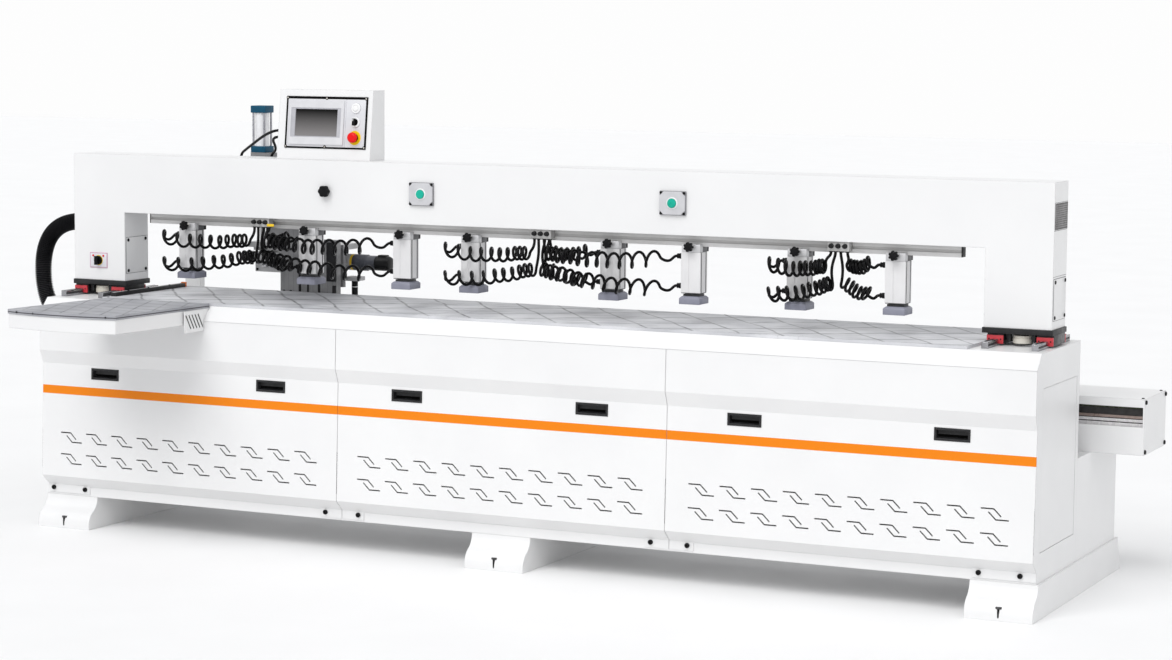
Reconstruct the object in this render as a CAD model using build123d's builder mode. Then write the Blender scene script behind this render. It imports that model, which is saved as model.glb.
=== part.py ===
# Line boring machine: a long cabinet bed, a sliding portal with air clamps over the table,
# and a boring head that travels on a beam behind the table. Millimetres, +Z up.
# Origin on the floor under the middle of the centre foot, +X along the bed, +Y to the rear.
from build123d import *
import math
import os

os.makedirs("parts", exist_ok=True)

# clearances
seat = 0.05
run_gap = 0.3
turn_gap = 0.05
cover_gap = 1.0

# sides of a small round form
round_sides = 16

# feet and rear columns
foot_count = 3
foot_width = 226.0
foot_length = 1056.0
foot_height = 115.0
foot_overhang = 8.0
flare_front = 56.0
flare_rear = 35.0
toe_height = 15.0
foot_wall = 14.0
foot_web = 40.0
rear_column_back = 470.0
rear_column_wall = 8.0

# bed cabinet
bed_length = 3800.0
bed_top = 851.0
bed_rear = -22.0
base_beam_height = 35.0
beam_setback = 2.0
deck_thick = 12.0
end_plate = 15.0
seam_post = 40.0
seam_post_depth = 70.0
support_sheet = 5.0
support_depth = 110.0
support_nose = 16.0
web_inset = 200.0
cap_nose = 1.0
cap_rise = 51.0
cap_run = 47.0

# front panels
panel_sheet = 3.0
panel_count = 3
panel_gap = 2.0
bevel_out = 42.0
bevel_rise = 40.0
lower_lean = 14.0
fold_z = 610.0
fold_out = 20.0
fold_rise = 49.0
upper_lean = 5.0
tab_drop = 28.0
left_end_tab = 185.0
right_end_tab = 210.0
seam_tab = 88.0

# louvre slits: each motif is a pair of bent slits
motif_count = 10
motif_pitch = 112.0
motif_width = 92.0
motif_height = 38.0
row_top = 356.0
row_pitch = 80.0
row_count = 2
slit = 3.5
slit_flat = 43.0
slit_run = 25.0
slit_drop = 24.0

# pulls in the front panels
pull_width = 121.0
pull_height = 42.0
pull_z = 579.5
pull_offset = 356.0
pull_flange = 2.0
pull_depth = 20.0
pull_rim = 4.0
pull_fit = 0.4

# bolts
bolt_across = 17.0
bolt_head = 8.0
bolt_z = 140.0
left_end_bolts = (25.0, 165.0)
right_end_bolts = (189.0, 52.0)
seam_bolt = 67.0
level_across = 24.0
level_head = 7.0
level_shank = 10.0
level_head_z = 38.0
level_inset = 10.0
housing_bolt_across = 14.0
housing_bolt_head = 5.0
housing_bolt_inset = 16.0

# end covers
cover_side = 30.0
cover_low = 212.0
right_cover_top = 737.0
left_cover_top = 680.0
cover_recess = 6.0
cover_plate = 5.0

# table, side fence and wing
table_side_gap = 5.0
table_front_gap = 3.0
table_rear = 88.0
table_thick = 10.0
strip_width = 72.0
strip_starts = (-290.0, 1010.0)
strip_gap = 0.6
fence_left = 5.0
fence_width = 22.0
fence_height = 15.0
fence_front = 46.0
fence_rear_gap = 36.0
wing_inset = 25.0
wing_width = 447.0
wing_left_splay = 58.0
wing_right_splay = 39.0
wing_left_front = -986.0
wing_right_front = -998.0
wing_bulge = 30.0
wing_thick = 16.0
wing_cap_gap = 2.0
apron_plate = 8.0
apron_inset = 3.0
apron_drop = 50.0
apron_front_gap = 3.0
wing_foot_run = 26.0
vent_plate = 6.0
vent_reach = 116.0
vent_drop = 78.0
vent_slots = 5
vent_slot = 6.0
vent_slot_length = 60.0
vent_lean = 32.0

# portal slide
rail_inside = 37.0
rail_outside = 23.0
rail_width = 23.0
rail_height = 22.0
rail_run = 360.0
block_width = 55.0
block_length = 130.0
block_foot = 6.0
slide_height = 40.0
seal_thick = 8.0
seal_top_gap = 6.0
pad_disc = 66.0
pad_forward = 35.0
pad_clear = 5.0
pad_boss = 40.0
pad_boss_height = 5.0
base_plate = 18.0
base_plate_overhang = 5.0

# portal frame
portal_inset = 15.0
column_width = 225.0
portal_depth = 150.0
portal_y = -237.0
beam_low = 1164.0
beam_high = 1380.0
portal_wall = 8.0
hatch = 100.0
hatch_z = 1004.0
hatch_cover = 136.0
hatch_sheet = 2.0
grille_z = 1270.0
grille_width = 138.0
grille_height = 84.0
grille_slots = 6
grille_slot = 6.0

# ribbed conduit
conduit_radius = 31.5
conduit_groove = 28.0
conduit_bore = 24.0
conduit_bend = 170.0
conduit_high = 1119.0
conduit_low = 735.0
conduit_reach = 187.0
conduit_sides = 8
conduit_ribs = 17
conduit_bore_step = 2
rib_land = 0.4
rib_flank = 0.1
conduit_boss = 42.0
conduit_boss_height = 15.0

# clamp rail and clamps
clamp_rail_left_gap = 85.0
clamp_rail_right_gap = 89.0
clamp_rail_depth = 35.0
clamp_rail_height = 38.0
clamp_rail_y = -254.5
rail_groove = 10.0
rail_groove_depth = 6.0
clamp_width = 70.0
clamp_depth = 60.0
clamp_y = -267.0
clamp_length = 137.0
clamp_groove = 3.0
clamp_groove_depth = 1.0
clamp_groove_at = -6.0
clamp_slot = 6.0
clamp_slot_depth = 4.0
clamp_slot_back = 11.0
bracket_cheek = 16.0
bracket_web = 19.0
bracket_top_gap = 9.0
bracket_front_rise = 8.0
knob_radius = 17.0
knob_waist = 13.0
knob_points = 6
knob_thick = 20.0
knob_stem = 6.0
knob_stem_length = 12.0
fitting_across = 14.0
fitting_length = 26.0
fitting_top = 16.0
fitting_low = 117.0
foot_rod = 6.0
foot_rod_spread = 20.0
foot_rod_inside = 90.0
rod_room = 1.5
foot_pad_width = 76.0
foot_pad_depth = 80.0
foot_pad_height = 27.0
foot_pad_chamfer = 6.0
foot_pad_slope = 45.0
foot_plate_inset = 6.0
foot_plate_height = 7.0
foot_rest_gap = 5.0

# air supply
manifold_width = 76.0
manifold_depth = 33.0
manifold_height = 36.0
manifold_x = (-1074.0, 64.0, 1156.0)
hose_radius = 4.0
coil_radius = 20.0
hose_sides = 3
lane_front = 33.0
coil_turns = 3
rings_per_arc = 2
hose_row = 8.0
upper_port = 28.0
lower_port = 12.0
upper_lead = 40.0
lower_lead = 16.0
upper_drop = 44.0
lower_drop = 100.0
near_port = 24.0
near_lead = 8.0
near_lift = 4.0
left_end = 32.0
near_end = 40.0
far_end = 48.0
lane_dip = 8.0
tiny = 1e-6

# clamp x, supply block, and how its hoses reach it
clamp_plan = (
    (-1394.0, 0, "left"),
    (-881.0, 0, "near"),
    (-490.0, 0, "far"),
    (-217.0, 1, "left"),
    (323.0, 1, "near"),
    (625.0, 1, "far"),
    (1008.0, 2, "left"),
    (1352.0, 2, "near"),
)

# control box
box_left = -1024.0
box_right = -637.0
box_height = 250.0
box_depth = 106.0
box_top_depth = 78.0
box_wall = 3.0
panel_left = 30.0
panel_right = 19.0
panel_low = 40.0
panel_high = 24.0
panel_plate = 4.0
panel_open_rim = 12.0
screen_left = 19.0
screen_width = 226.0
screen_height = 160.0
screen_low = 13.0
screen_thick = 6.0
control_from_right = 46.0
start_up = 147.0
selector_up = 97.0
stop_up = 41.0
start_radius = 11.0
start_proud = 6.0
button_inside = 3.0
selector_radius = 14.0
selector_height = 10.0
selector_bar = 7.0
stop_stem = 11.0
stop_head = 19.0
stop_proud = 12.0
stop_head_thick = 14.0

# controls on the portal front
plate_thick = 12.0
plate_width = 97.0
plate_height = 82.0
plate_z = 1272.0
plate_x = (-400.5, 565.5)
bench_button_radius = 16.0
bench_button_proud = 7.0
regulator_x = -792.0
regulator_z = 1271.0
regulator_radius = 22.0
regulator_waist = 19.5
regulator_points = 9
regulator_height = 26.0
switch_from_end = 108.0
switch_z = 982.5
switch_width = 78.0
switch_height = 57.0
switch_plate = 3.0
switch_radius = 17.0
switch_disc = 10.0
switch_bar = 9.0
switch_bar_height = 12.0

# control cables
cable_radius = 5.0
cable_sides = 6
rings_per_bend = 3
gland_across = 18.0
gland_length = 18.0
cable_gland_z = 100.0
cable_gland_gap = 24.0
cable_exit_z = 1300.0
cable_exit_x = (-1312.0, -1180.0)
cable_lead = 40.0
cable_rise = 4.0
cable_back = 100.0
cable_bend = 48.0
bend_share = 0.45

# boring head beam behind the table
housing_overhang = 180.0
housing_front = 133.0
housing_rear = 418.0
housing_low = 460.0
housing_high = 648.0
housing_wall = 6.0
slot_low = 554.0
slot_high = 620.0
inner_beam_front = 300.0
inner_beam_margin = 14.0
inner_beam_wall = 10.0
x_rail = 20.0
x_rail_z = (510.0, 598.0)
x_rail_end = 20.0
stop_post_from_end = 314.0
stop_post_width = 70.0
stop_post_y = 300.0
stop_post_depth = 30.0
stop_post_top = 873.0

# boring head
head_home = 424.0
head_width = 246.0
head_plate_front = 96.0
head_plate = 30.0
head_plate_low = 545.0
head_plate_high = 1060.0
arm_gap = 8.0
carriage_plate = 20.0
carriage_gap = 8.0
runner_reach = 26.0
runner_half = 25.0
runner_length = 80.0
mast_reach = 64.0
mast_width = 180.0
lift_reach = 98.0
lift_y = 128.0
lift_square = 64.0
lift_cap_low = 24.0
lift_barrel = 126.0
lift_cap_high = 27.0
lift_barrel_inset = 4.0
lift_bore = 23.0
lift_rod = 10.0
lift_base = 1381.0
lift_shelf = 30.0
rod_guide = 1.0
v_rail = 20.0
v_rail_proud = 16.0
v_rail_inset = 41.0
v_rail_low = 670.0
v_rail_high = 1050.0
v_runner = 18.0
v_runner_half = 20.0
v_runner_low = 900.0
v_runner_length = 100.0
lift_plate_thick = 15.0
lift_plate_low = 880.0
lift_plate_high = 1040.0
lift_shelf_reach = 154.0
lift_shelf_front = 110.0
lift_shelf_rear = 270.0
lift_shelf_thick = 20.0
side_gap = 4.0
y_rail = 20.0
y_rail_height = 12.0
y_rail_reach = (124.0, 24.0)
y_rail_front = 120.0
y_rail_rear = 265.0
y_runner_half = 17.0
y_runner_front = 170.0
y_runner_rear = 250.0
drill_gap = 9.0
drill_width = 130.0
drill_front = 140.0
drill_rear = 290.0
drill_low = 925.0
drill_high = 1000.0
spindle_pitch = 32.0
spindle_inset = 49.0
spindle_z = 955.0
spindle_shank = 10.0
spindle_inside = 60.0
chuck_radius = 13.0
chuck_length = 20.0
chuck_gap = 1.0
bit_radius = 4.0
bit_length = 20.0
bit_point = 2.5
motor_y = 245.0
motor_z = 968.0
bell_radius = 27.0
bell_length = 146.0
flange_size = 66.0
flange_thick = 12.0
motor_radius = 31.0
motor_length = 150.0
motor_cap_radius = 28.0
motor_cap = 100.0
lug_reach = 60.0
lug_rear = 205.0
lug_thick = 15.0
lug_low_z = 690.0
lug_high_z = 905.0
head_cable_y = 180.0
head_cable_radius = 12.0

front_way = (0, -1, 0)
left_way = (-1, 0, 0)
right_way = (1, 0, 0)
up_way = (0, 0, 1)
down_way = (0, 0, -1)

bed_half = bed_length / 2
foot_pitch = bed_half + foot_overhang - foot_width / 2
portal_half = bed_half - portal_inset
portal_inside = portal_half - column_width
table_half = portal_inside - table_side_gap
wing_left = -table_half + wing_inset
wing_right = wing_left + wing_width
rail_centres = (portal_inside + rail_inside, portal_half - rail_outside)
pad_x = sum(rail_centres) / 2
clamp_rail_left = -portal_inside + clamp_rail_left_gap
clamp_rail_right = portal_inside - clamp_rail_right_gap
switch_x = -portal_half + switch_from_end
housing_half = bed_half + housing_overhang
stop_post_x = -housing_half + stop_post_from_end
head_left = -portal_inside + head_home
head_right = head_left + head_width
mast_left = head_left - mast_reach
mast_right = mast_left + mast_width
lift_x = head_left - lift_reach
v_rail_centres = (head_left + v_rail_inset, head_right - v_rail_inset)
lift_shelf_left = head_left - lift_shelf_reach
y_rail_x = [head_left - reach for reach in y_rail_reach]
drill_right = head_left - drill_gap
drill_left = drill_right - drill_width
spindle_x = (drill_left + spindle_inset, drill_left + spindle_inset + spindle_pitch)
lug_right = head_right + lug_reach
head_cable_x = head_right + lug_reach / 2
foot_half = foot_length / 2
beam_front = -foot_half + flare_front + beam_setback
beam_top = foot_height + base_beam_height
panel_y = beam_front - bevel_out
panel_z = beam_top + bevel_rise
cap_edge = panel_y + lower_lean - fold_out + upper_lean - cap_nose + cap_run
panel_top = bed_top - cap_rise
table_front = cap_edge + table_front_gap
table_top_z = bed_top + table_thick
portal_front = portal_y - portal_depth / 2
portal_rear = portal_y + portal_depth / 2
base_low = bed_top + slide_height
column_low = base_low + base_plate


def slab(x, y, z, mode=Mode.ADD):
    """A box between three pairs of limits."""
    with BuildSketch(Plane.XY.offset(z[0])) as outline:
        with Locations(((x[0] + x[1]) / 2, (y[0] + y[1]) / 2)):
            Rectangle(x[1] - x[0], y[1] - y[0])
    extrude(outline.sketch, amount=z[1] - z[0], mode=mode)


def prism(points, x, mode=Mode.ADD):
    """A (y, z) outline pushed along X."""
    with BuildSketch(Plane.YZ.offset(x[0])) as outline:
        Polygon(*points, align=None)
    extrude(outline.sketch, amount=x[1] - x[0], mode=mode)


def disc(plane, radius, height, mode=Mode.ADD):
    """A many sided disc inside its radius, or a hole outside it, so that the two always clear."""
    with BuildSketch(plane) as outline:
        RegularPolygon(radius, round_sides, major_radius=mode == Mode.ADD)
    extrude(outline.sketch, amount=height, mode=mode)


def post(centre, way, radius, height, mode=Mode.ADD):
    """A round bar or hole that starts at a point."""
    disc(Plane(origin=centre, z_dir=way), radius, height, mode)


def hex_bar(centre, way, across, height):
    """A hexagon bar that starts at a point."""
    with BuildSketch(Plane(origin=centre, z_dir=way)) as outline:
        RegularPolygon(across / 2, 6, major_radius=False)
    extrude(outline.sketch, amount=height)


def star(centre, way, tip, waist, points, height):
    """A star shaped grip."""
    corners = []
    for k in range(2 * points):
        turn = math.pi * k / points
        reach = tip if k % 2 == 0 else waist
        corners.append((reach * math.cos(turn), reach * math.sin(turn)))
    with BuildSketch(Plane(origin=centre, z_dir=way)) as outline:
        Polygon(*corners, align=None)
    extrude(outline.sketch, amount=height)


def panel_outline(shift):
    """The front skin from its foot to its top edge, moved back by shift."""
    y_fold = panel_y + lower_lean
    y_upper = y_fold - fold_out
    return [
        (beam_front + shift, beam_top),
        (panel_y + shift, panel_z),
        (y_fold + shift, fold_z),
        (y_upper + shift, fold_z + fold_rise),
        (y_upper + upper_lean + shift, panel_top),
    ]


def lower_face(x, z):
    """A plane on the sloping lower part of the front skin."""
    slope = lower_lean / (fold_z - panel_z)
    return Plane(
        origin=(x, panel_y + slope * (z - panel_z), z),
        x_dir=right_way,
        z_dir=(0, -1, slope),
    )


def foot_span(k):
    """Limits of a foot along X."""
    centre = foot_pitch * (k - (foot_count - 1) / 2)
    return (centre - foot_width / 2, centre + foot_width / 2)


# Feet: flared castings under both ends and the middle, with hollow columns at the back
with BuildPart() as base_feet:
    for k in range(foot_count):
        span = foot_span(k)
        top_front = (-foot_half + flare_front, foot_height)
        toe_front = (-foot_half, toe_height)
        mid_front = ((top_front[0] + toe_front[0]) / 2, (foot_height + toe_height) / 2)
        top_rear = (foot_half - flare_rear, foot_height)
        toe_rear = (foot_half, toe_height)
        mid_rear = ((top_rear[0] + toe_rear[0]) / 2, (foot_height + toe_height) / 2)
        with BuildSketch(Plane.YZ.offset(span[0])) as side:
            with BuildLine():
                Line(top_front, top_rear)
                TangentArc(top_front, mid_front, tangent=(0, -1))
                TangentArc(toe_front, mid_front, tangent=(0, 1))
                Polyline(toe_front, (-foot_half, 0), (foot_half, 0), toe_rear)
                TangentArc(toe_rear, mid_rear, tangent=(0, 1))
                TangentArc(top_rear, mid_rear, tangent=(0, -1))
            make_face()
        extrude(side.sketch, amount=foot_width)
        pocket_x = (span[0] + foot_wall, span[1] - foot_wall)
        pocket_ends = (top_front[0] + foot_wall, top_rear[0] - foot_wall)
        for pocket in ((pocket_ends[0], -foot_web / 2), (foot_web / 2, pocket_ends[1])):
            slab(pocket_x, pocket, (0, foot_height - foot_wall), mode=Mode.SUBTRACT)
        wide = (max(span[0], -bed_half), min(span[1], bed_half))
        inner = (wide[0] + rear_column_wall, wide[1] - rear_column_wall)
        slab(wide, (bed_rear + seat, rear_column_back), (foot_height + seat, housing_low))
        slab(
            inner,
            (bed_rear + rear_column_wall, rear_column_back - rear_column_wall),
            (foot_height, housing_low - rear_column_wall),
            mode=Mode.SUBTRACT,
        )
base_feet.part.label = "base_feet"
export_step(base_feet.part, "parts/base_feet.step")

# Bed cabinet: folded and welded shell, open at the front behind the panels
seam_x = bed_length / panel_count / 2
skin = panel_outline(panel_sheet)
cap_front = panel_outline(0)[-1][0] - cap_nose
with BuildPart() as bed_frame:
    prism(
        [(beam_front, foot_height), (beam_front, beam_top)]
        + skin
        + [
            (cap_front, panel_top),
            (cap_front + cap_run, bed_top),
            (bed_rear, bed_top),
            (bed_rear, foot_height),
        ],
        (-bed_half, bed_half),
    )
    prism(
        [
            (cap_front - bevel_out, beam_top),
            (bed_rear - deck_thick, beam_top),
            (bed_rear - deck_thick, bed_top - deck_thick),
            (cap_front + cap_run, bed_top - deck_thick),
            (cap_front + deck_thick, panel_top),
            (cap_front - bevel_out, panel_top),
        ],
        (-bed_half + end_plate, bed_half - end_plate),
        mode=Mode.SUBTRACT,
    )
    for x in (-seam_x, seam_x):
        back = max(skin[1][0], skin[2][0]) + seam_post_depth
        prism(
            skin + [(back, panel_top), (back, beam_top)],
            (x - seam_post / 2, x + seam_post / 2),
        )
    support_edge = table_rear - support_nose / 2
    prism(
        [
            (bed_rear, bed_top),
            (support_edge, bed_top),
            (support_edge, bed_top - support_nose),
            (bed_rear, bed_top - support_depth),
        ],
        (-table_half, table_half),
    )
    prism(
        [
            (bed_rear, bed_top - support_sheet),
            (support_edge - support_sheet, bed_top - support_sheet),
            (support_edge - support_sheet, bed_top - support_nose + support_sheet / 2),
            (bed_rear, bed_top - support_depth + 2 * support_sheet),
        ],
        (-table_half, table_half),
        mode=Mode.SUBTRACT,
    )
    web_x = bed_half - web_inset
    for x in ((-web_x, -web_x + end_plate), (web_x - end_plate, web_x)):
        slab(x, (bed_rear, housing_front), (housing_low, housing_high))
    cover_y = (beam_front + cover_side, bed_rear - cover_side)
    slab(
        (bed_half - cover_recess, bed_half),
        cover_y,
        (cover_low, right_cover_top),
        mode=Mode.SUBTRACT,
    )
    slab(
        (-bed_half, -bed_half + cover_recess),
        cover_y,
        (cover_low, left_cover_top),
        mode=Mode.SUBTRACT,
    )
    low_boss = (-bed_half, portal_y, conduit_low)
    post(low_boss, left_way, conduit_boss, conduit_boss_height)
    post(
        (-bed_half - conduit_boss_height, portal_y, conduit_low),
        right_way,
        conduit_bore,
        conduit_boss_height + end_plate,
        mode=Mode.SUBTRACT,
    )
bed_frame.part.label = "bed_frame"
export_step(bed_frame.part, "parts/bed_frame.step")

# Front panels: three bent sheets with slits, pull openings and bolt tabs
panel_width = bed_length / panel_count
pull_centres = []
slit_lean = math.atan2(slit_drop, slit_run)
slit_across = slit * math.sin(slit_lean)
slit_along = slit * math.cos(slit_lean)
slit_corner = slit * math.tan(slit_lean / 2)
with BuildPart() as front_panels:
    sheet = panel_outline(0) + list(reversed(panel_outline(panel_sheet)))
    for k in range(panel_count):
        middle = panel_width * (k - (panel_count - 1) / 2)
        left = middle - panel_width / 2 + (panel_gap / 2 if k > 0 else 0)
        right = middle + panel_width / 2 - (panel_gap / 2 if k < panel_count - 1 else 0)
        prism(sheet, (left, right))
        left_tab = seam_tab if k > 0 else left_end_tab
        right_tab = seam_tab if k < panel_count - 1 else right_end_tab
        for tab in ((left, left + left_tab), (right - right_tab, right)):
            prism(
                [
                    (beam_front, beam_top),
                    (beam_front, beam_top - tab_drop),
                    (beam_front - panel_sheet, beam_top - tab_drop),
                    (beam_front - panel_sheet, beam_top + panel_sheet),
                ],
                tab,
            )
        with BuildSketch(Plane.XZ.offset(-panel_y + bevel_out)) as slits:
            for row in range(row_count):
                z_top = row_top - row_pitch * row
                z_low = z_top - motif_height
                for m in range(motif_count):
                    x0 = middle + motif_pitch * (m - (motif_count - 1) / 2) - motif_width / 2
                    x1 = x0 + motif_width
                    x_bend = x0 + slit_flat
                    Polygon(
                        (x0, z_top),
                        (x_bend, z_top),
                        (x_bend + slit_run, z_top - slit_drop),
                        (x_bend + slit_run - slit_across, z_top - slit_drop - slit_along),
                        (x_bend - slit_corner, z_top - slit),
                        (x0, z_top - slit),
                        align=None,
                    )
                    x_bend = x1 - slit_flat
                    Polygon(
                        (x1, z_low),
                        (x_bend, z_low),
                        (x_bend - slit_run, z_low + slit_drop),
                        (x_bend - slit_run + slit_across, z_low + slit_drop + slit_along),
                        (x_bend + slit_corner, z_low + slit),
                        (x1, z_low + slit),
                        align=None,
                    )
        extrude(slits.sketch, amount=-2 * bevel_out, mode=Mode.SUBTRACT)
        for side in (-1, 1):
            spot = lower_face(middle + side * pull_offset, pull_z)
            pull_centres.append(spot)
            with BuildSketch(spot) as opening:
                Rectangle(pull_width - 2 * pull_rim, pull_height - 2 * pull_rim)
            extrude(opening.sketch, amount=2 * panel_sheet, both=True, mode=Mode.SUBTRACT)
front_panels.part.label = "front_panels"
export_step(front_panels.part, "parts/front_panels.step")

# Pulls: moulded tubs with a flange on the panel face
with BuildPart() as panel_pulls:
    for spot in pull_centres:
        tub_width = pull_width - 2 * pull_rim - 2 * pull_fit
        tub_height = pull_height - 2 * pull_rim - 2 * pull_fit
        with BuildSketch(spot) as flange:
            Rectangle(pull_width, pull_height)
        extrude(flange.sketch, amount=pull_flange)
        with BuildSketch(spot) as tub:
            Rectangle(tub_width, tub_height)
        extrude(tub.sketch, amount=-pull_depth)
        with BuildSketch(spot.offset(pull_flange)) as hollow:
            Rectangle(tub_width - 2 * pull_rim, tub_height - 2 * pull_rim)
        extrude(hollow.sketch, amount=pull_rim - pull_depth - pull_flange, mode=Mode.SUBTRACT)
panel_pulls.part.label = "panel_pulls"
export_step(panel_pulls.part, "parts/panel_pulls.step")

# Bolts through the panel tabs, levelling bolts in the feet, and bolts in the ends of the beam housing
with BuildPart() as frame_bolts:
    bolt_x = [-bed_half + reach for reach in left_end_bolts]
    bolt_x += [-seam_x - seam_bolt, -seam_x + seam_bolt, seam_x - seam_bolt, seam_x + seam_bolt]
    bolt_x += [bed_half - reach for reach in right_end_bolts]
    for x in bolt_x:
        hex_bar((x, beam_front - panel_sheet, bolt_z), front_way, bolt_across, bolt_head)
    for k in range(foot_count):
        x = sum(foot_span(k)) / 2
        for y in (-foot_half + level_inset, foot_half - level_inset):
            sole = level_head_z - toe_height
            hex_bar((x, y, level_head_z), down_way, level_shank, sole)
            hex_bar((x, y, level_head_z), up_way, level_across, level_head)
    add(base_feet.part, mode=Mode.SUBTRACT)
    for x, way in ((-housing_half, left_way), (housing_half, right_way)):
        for y in (housing_front + housing_bolt_inset, housing_rear - housing_bolt_inset):
            for z in (housing_low + housing_bolt_inset, housing_high - housing_bolt_inset):
                hex_bar((x, y, z), way, housing_bolt_across, housing_bolt_head)
frame_bolts.part.label = "frame_bolts"
export_step(frame_bolts.part, "parts/frame_bolts.step")

# End covers: plates let into the end plates
with BuildPart() as end_covers:
    for way, top in ((1, right_cover_top), (-1, left_cover_top)):
        inside = bed_half - cover_recess
        slab(
            tuple(sorted((way * inside, way * (inside + cover_plate)))),
            (cover_y[0] + cover_gap, cover_y[1] - cover_gap),
            (cover_low + cover_gap, top - cover_gap),
        )
end_covers.part.label = "end_covers"
export_step(end_covers.part, "parts/end_covers.step")

# Table: flat boards with two narrow strips between them
with BuildPart() as table_top:
    edges = [-table_half]
    for start in strip_starts:
        edges += [start, start + strip_width]
    edges.append(table_half)
    for k in range(len(edges) - 1):
        left = edges[k] + (strip_gap / 2 if k > 0 else 0)
        right = edges[k + 1] - (strip_gap / 2 if k < len(edges) - 2 else 0)
        slab((left, right), (table_front, table_rear), (bed_top, table_top_z))
table_top.part.label = "table_top"
export_step(table_top.part, "parts/table_top.step")

# Side fence: a bar on the left edge of the table that lines the work up
with BuildPart() as side_fence:
    fence_x = (-table_half + fence_left, -table_half + fence_left + fence_width)
    fence_y = (table_front + fence_front, table_rear - fence_rear_gap)
    slab(fence_x, fence_y, (table_top_z, table_top_z + fence_height))
side_fence.part.label = "side_fence"
export_step(side_fence.part, "parts/side_fence.step")

# Wing: a board in front of the left end, with a bowed front edge
wing_low = table_top_z - wing_thick
cap_slope = cap_run / cap_rise
wing_rear = cap_front + (wing_low - panel_top) * cap_slope - wing_cap_gap


def wing_outline(side, front, rear):
    """The wing's edge, drawn in from its sides and its front, and ended at a rear line."""
    near_left = (wing_left - wing_left_splay + side, wing_left_front + front)
    near_right = (wing_right - wing_right_splay - side, wing_right_front + front)
    middle_x = (near_left[0] + near_right[0]) / 2
    middle_y = (near_left[1] + near_right[1]) / 2 - wing_bulge
    ThreePointArc(near_left, (middle_x, middle_y), near_right)
    Polyline(near_right, (wing_right - side, rear), (wing_left + side, rear), near_left)


with BuildPart() as wing_table:
    with BuildSketch(Plane.XY.offset(wing_low)) as board:
        with BuildLine():
            wing_outline(0, 0, wing_rear)
        make_face()
    extrude(board.sketch, amount=wing_thick)
wing_table.part.label = "wing_table"
export_step(wing_table.part, "parts/wing_table.step")

# Wing frame: welded apron under the board, a foot on the cabinet bevel and a slotted side plate
apron_low = wing_low - apron_drop
with BuildPart() as wing_frame:
    apron_x = (wing_left + apron_inset, wing_right - apron_inset)
    prism(
        [
            (cap_front, panel_top),
            (cap_front - wing_foot_run, panel_top),
            (cap_front - wing_foot_run, wing_low),
            (cap_front + (wing_low - panel_top) * cap_slope, wing_low),
        ],
        apron_x,
    )
    with BuildSketch(Plane.XY.offset(apron_low)) as ring:
        with BuildLine():
            wing_outline(apron_inset, apron_front_gap, cap_front - wing_foot_run + seat)
        make_face()
        offset(amount=-apron_plate, mode=Mode.SUBTRACT)
    extrude(ring.sketch, amount=apron_drop)
    vent_x = (apron_x[1], apron_x[1] + vent_plate)
    vent_back = panel_outline(0)[3][0] - seat
    slab(vent_x, (vent_back - vent_reach, vent_back), (wing_low - vent_drop, wing_low))
    with BuildSketch(Plane.YZ.offset(vent_x[0])) as slots:
        pitch = vent_reach / (vent_slots + 1)
        for k in range(vent_slots):
            with Locations((vent_back - pitch * (k + 1), wing_low - vent_drop / 2)):
                Rectangle(vent_slot, vent_slot_length, rotation=vent_lean)
    extrude(slots.sketch, amount=vent_plate, mode=Mode.SUBTRACT)
wing_frame.part.label = "wing_frame"
export_step(wing_frame.part, "parts/wing_frame.step")

# Portal rails: two hardened rails on each end of the bed
rail_spots = [side * x for side in (-1, 1) for x in rail_centres]
with BuildPart() as gantry_rails:
    for x in rail_spots:
        slab(
            (x - rail_width / 2, x + rail_width / 2),
            (portal_y - rail_run / 2, portal_y + rail_run / 2),
            (bed_top, bed_top + rail_height),
        )
gantry_rails.part.label = "gantry_rails"
export_step(gantry_rails.part, "parts/gantry_rails.step")

# Guide blocks that run on the rails
groove_half = rail_width / 2 + run_gap
groove_top = bed_top + rail_height + run_gap
with BuildPart() as rail_blocks:
    for x in rail_spots:
        slab(
            (x - block_width / 2, x + block_width / 2),
            (portal_y - block_length / 2, portal_y + block_length / 2),
            (bed_top + block_foot, base_low),
        )
        slab(
            (x - groove_half, x + groove_half),
            (portal_y - block_length / 2, portal_y + block_length / 2),
            (bed_top + block_foot, groove_top),
            mode=Mode.SUBTRACT,
        )
rail_blocks.part.label = "rail_blocks"
export_step(rail_blocks.part, "parts/rail_blocks.step")

# End seals of the guide blocks
with BuildPart() as block_seals:
    for x in rail_spots:
        for end in (-1, 1):
            near = portal_y + end * block_length / 2
            y = tuple(sorted((near, near + end * seal_thick)))
            z = (bed_top + block_foot, base_low - seal_top_gap)
            slab((x - block_width / 2, x + block_width / 2), y, z)
            slab((x - groove_half, x + groove_half), y, (z[0], groove_top), mode=Mode.SUBTRACT)
block_seals.part.label = "block_seals"
export_step(block_seals.part, "parts/block_seals.step")

# Base plates under the columns, each with a boss for the brake pad
pad_y = portal_y - pad_forward
with BuildPart() as gantry_base_plates:
    for side in (-1, 1):
        x = tuple(sorted((
            side * (portal_inside + base_plate_overhang),
            side * (portal_half + base_plate_overhang),
        )))
        y = (portal_front - base_plate_overhang, portal_rear + base_plate_overhang)
        slab(x, y, (base_low, column_low))
        slab(
            (side * pad_x - pad_boss / 2, side * pad_x + pad_boss / 2),
            (pad_y - pad_boss / 2, pad_y + pad_boss / 2),
            (base_low - pad_boss_height, base_low),
        )
gantry_base_plates.part.label = "gantry_base_plates"
export_step(gantry_base_plates.part, "parts/gantry_base_plates.step")

# Brake pads between the rails
with BuildPart() as brake_pads:
    for side in (-1, 1):
        pad_low = bed_top + pad_clear
        pad_high = base_low - pad_boss_height
        post((side * pad_x, pad_y, pad_low), up_way, pad_disc / 2, pad_high - pad_low)
brake_pads.part.label = "brake_pads"
export_step(brake_pads.part, "parts/brake_pads.step")

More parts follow.
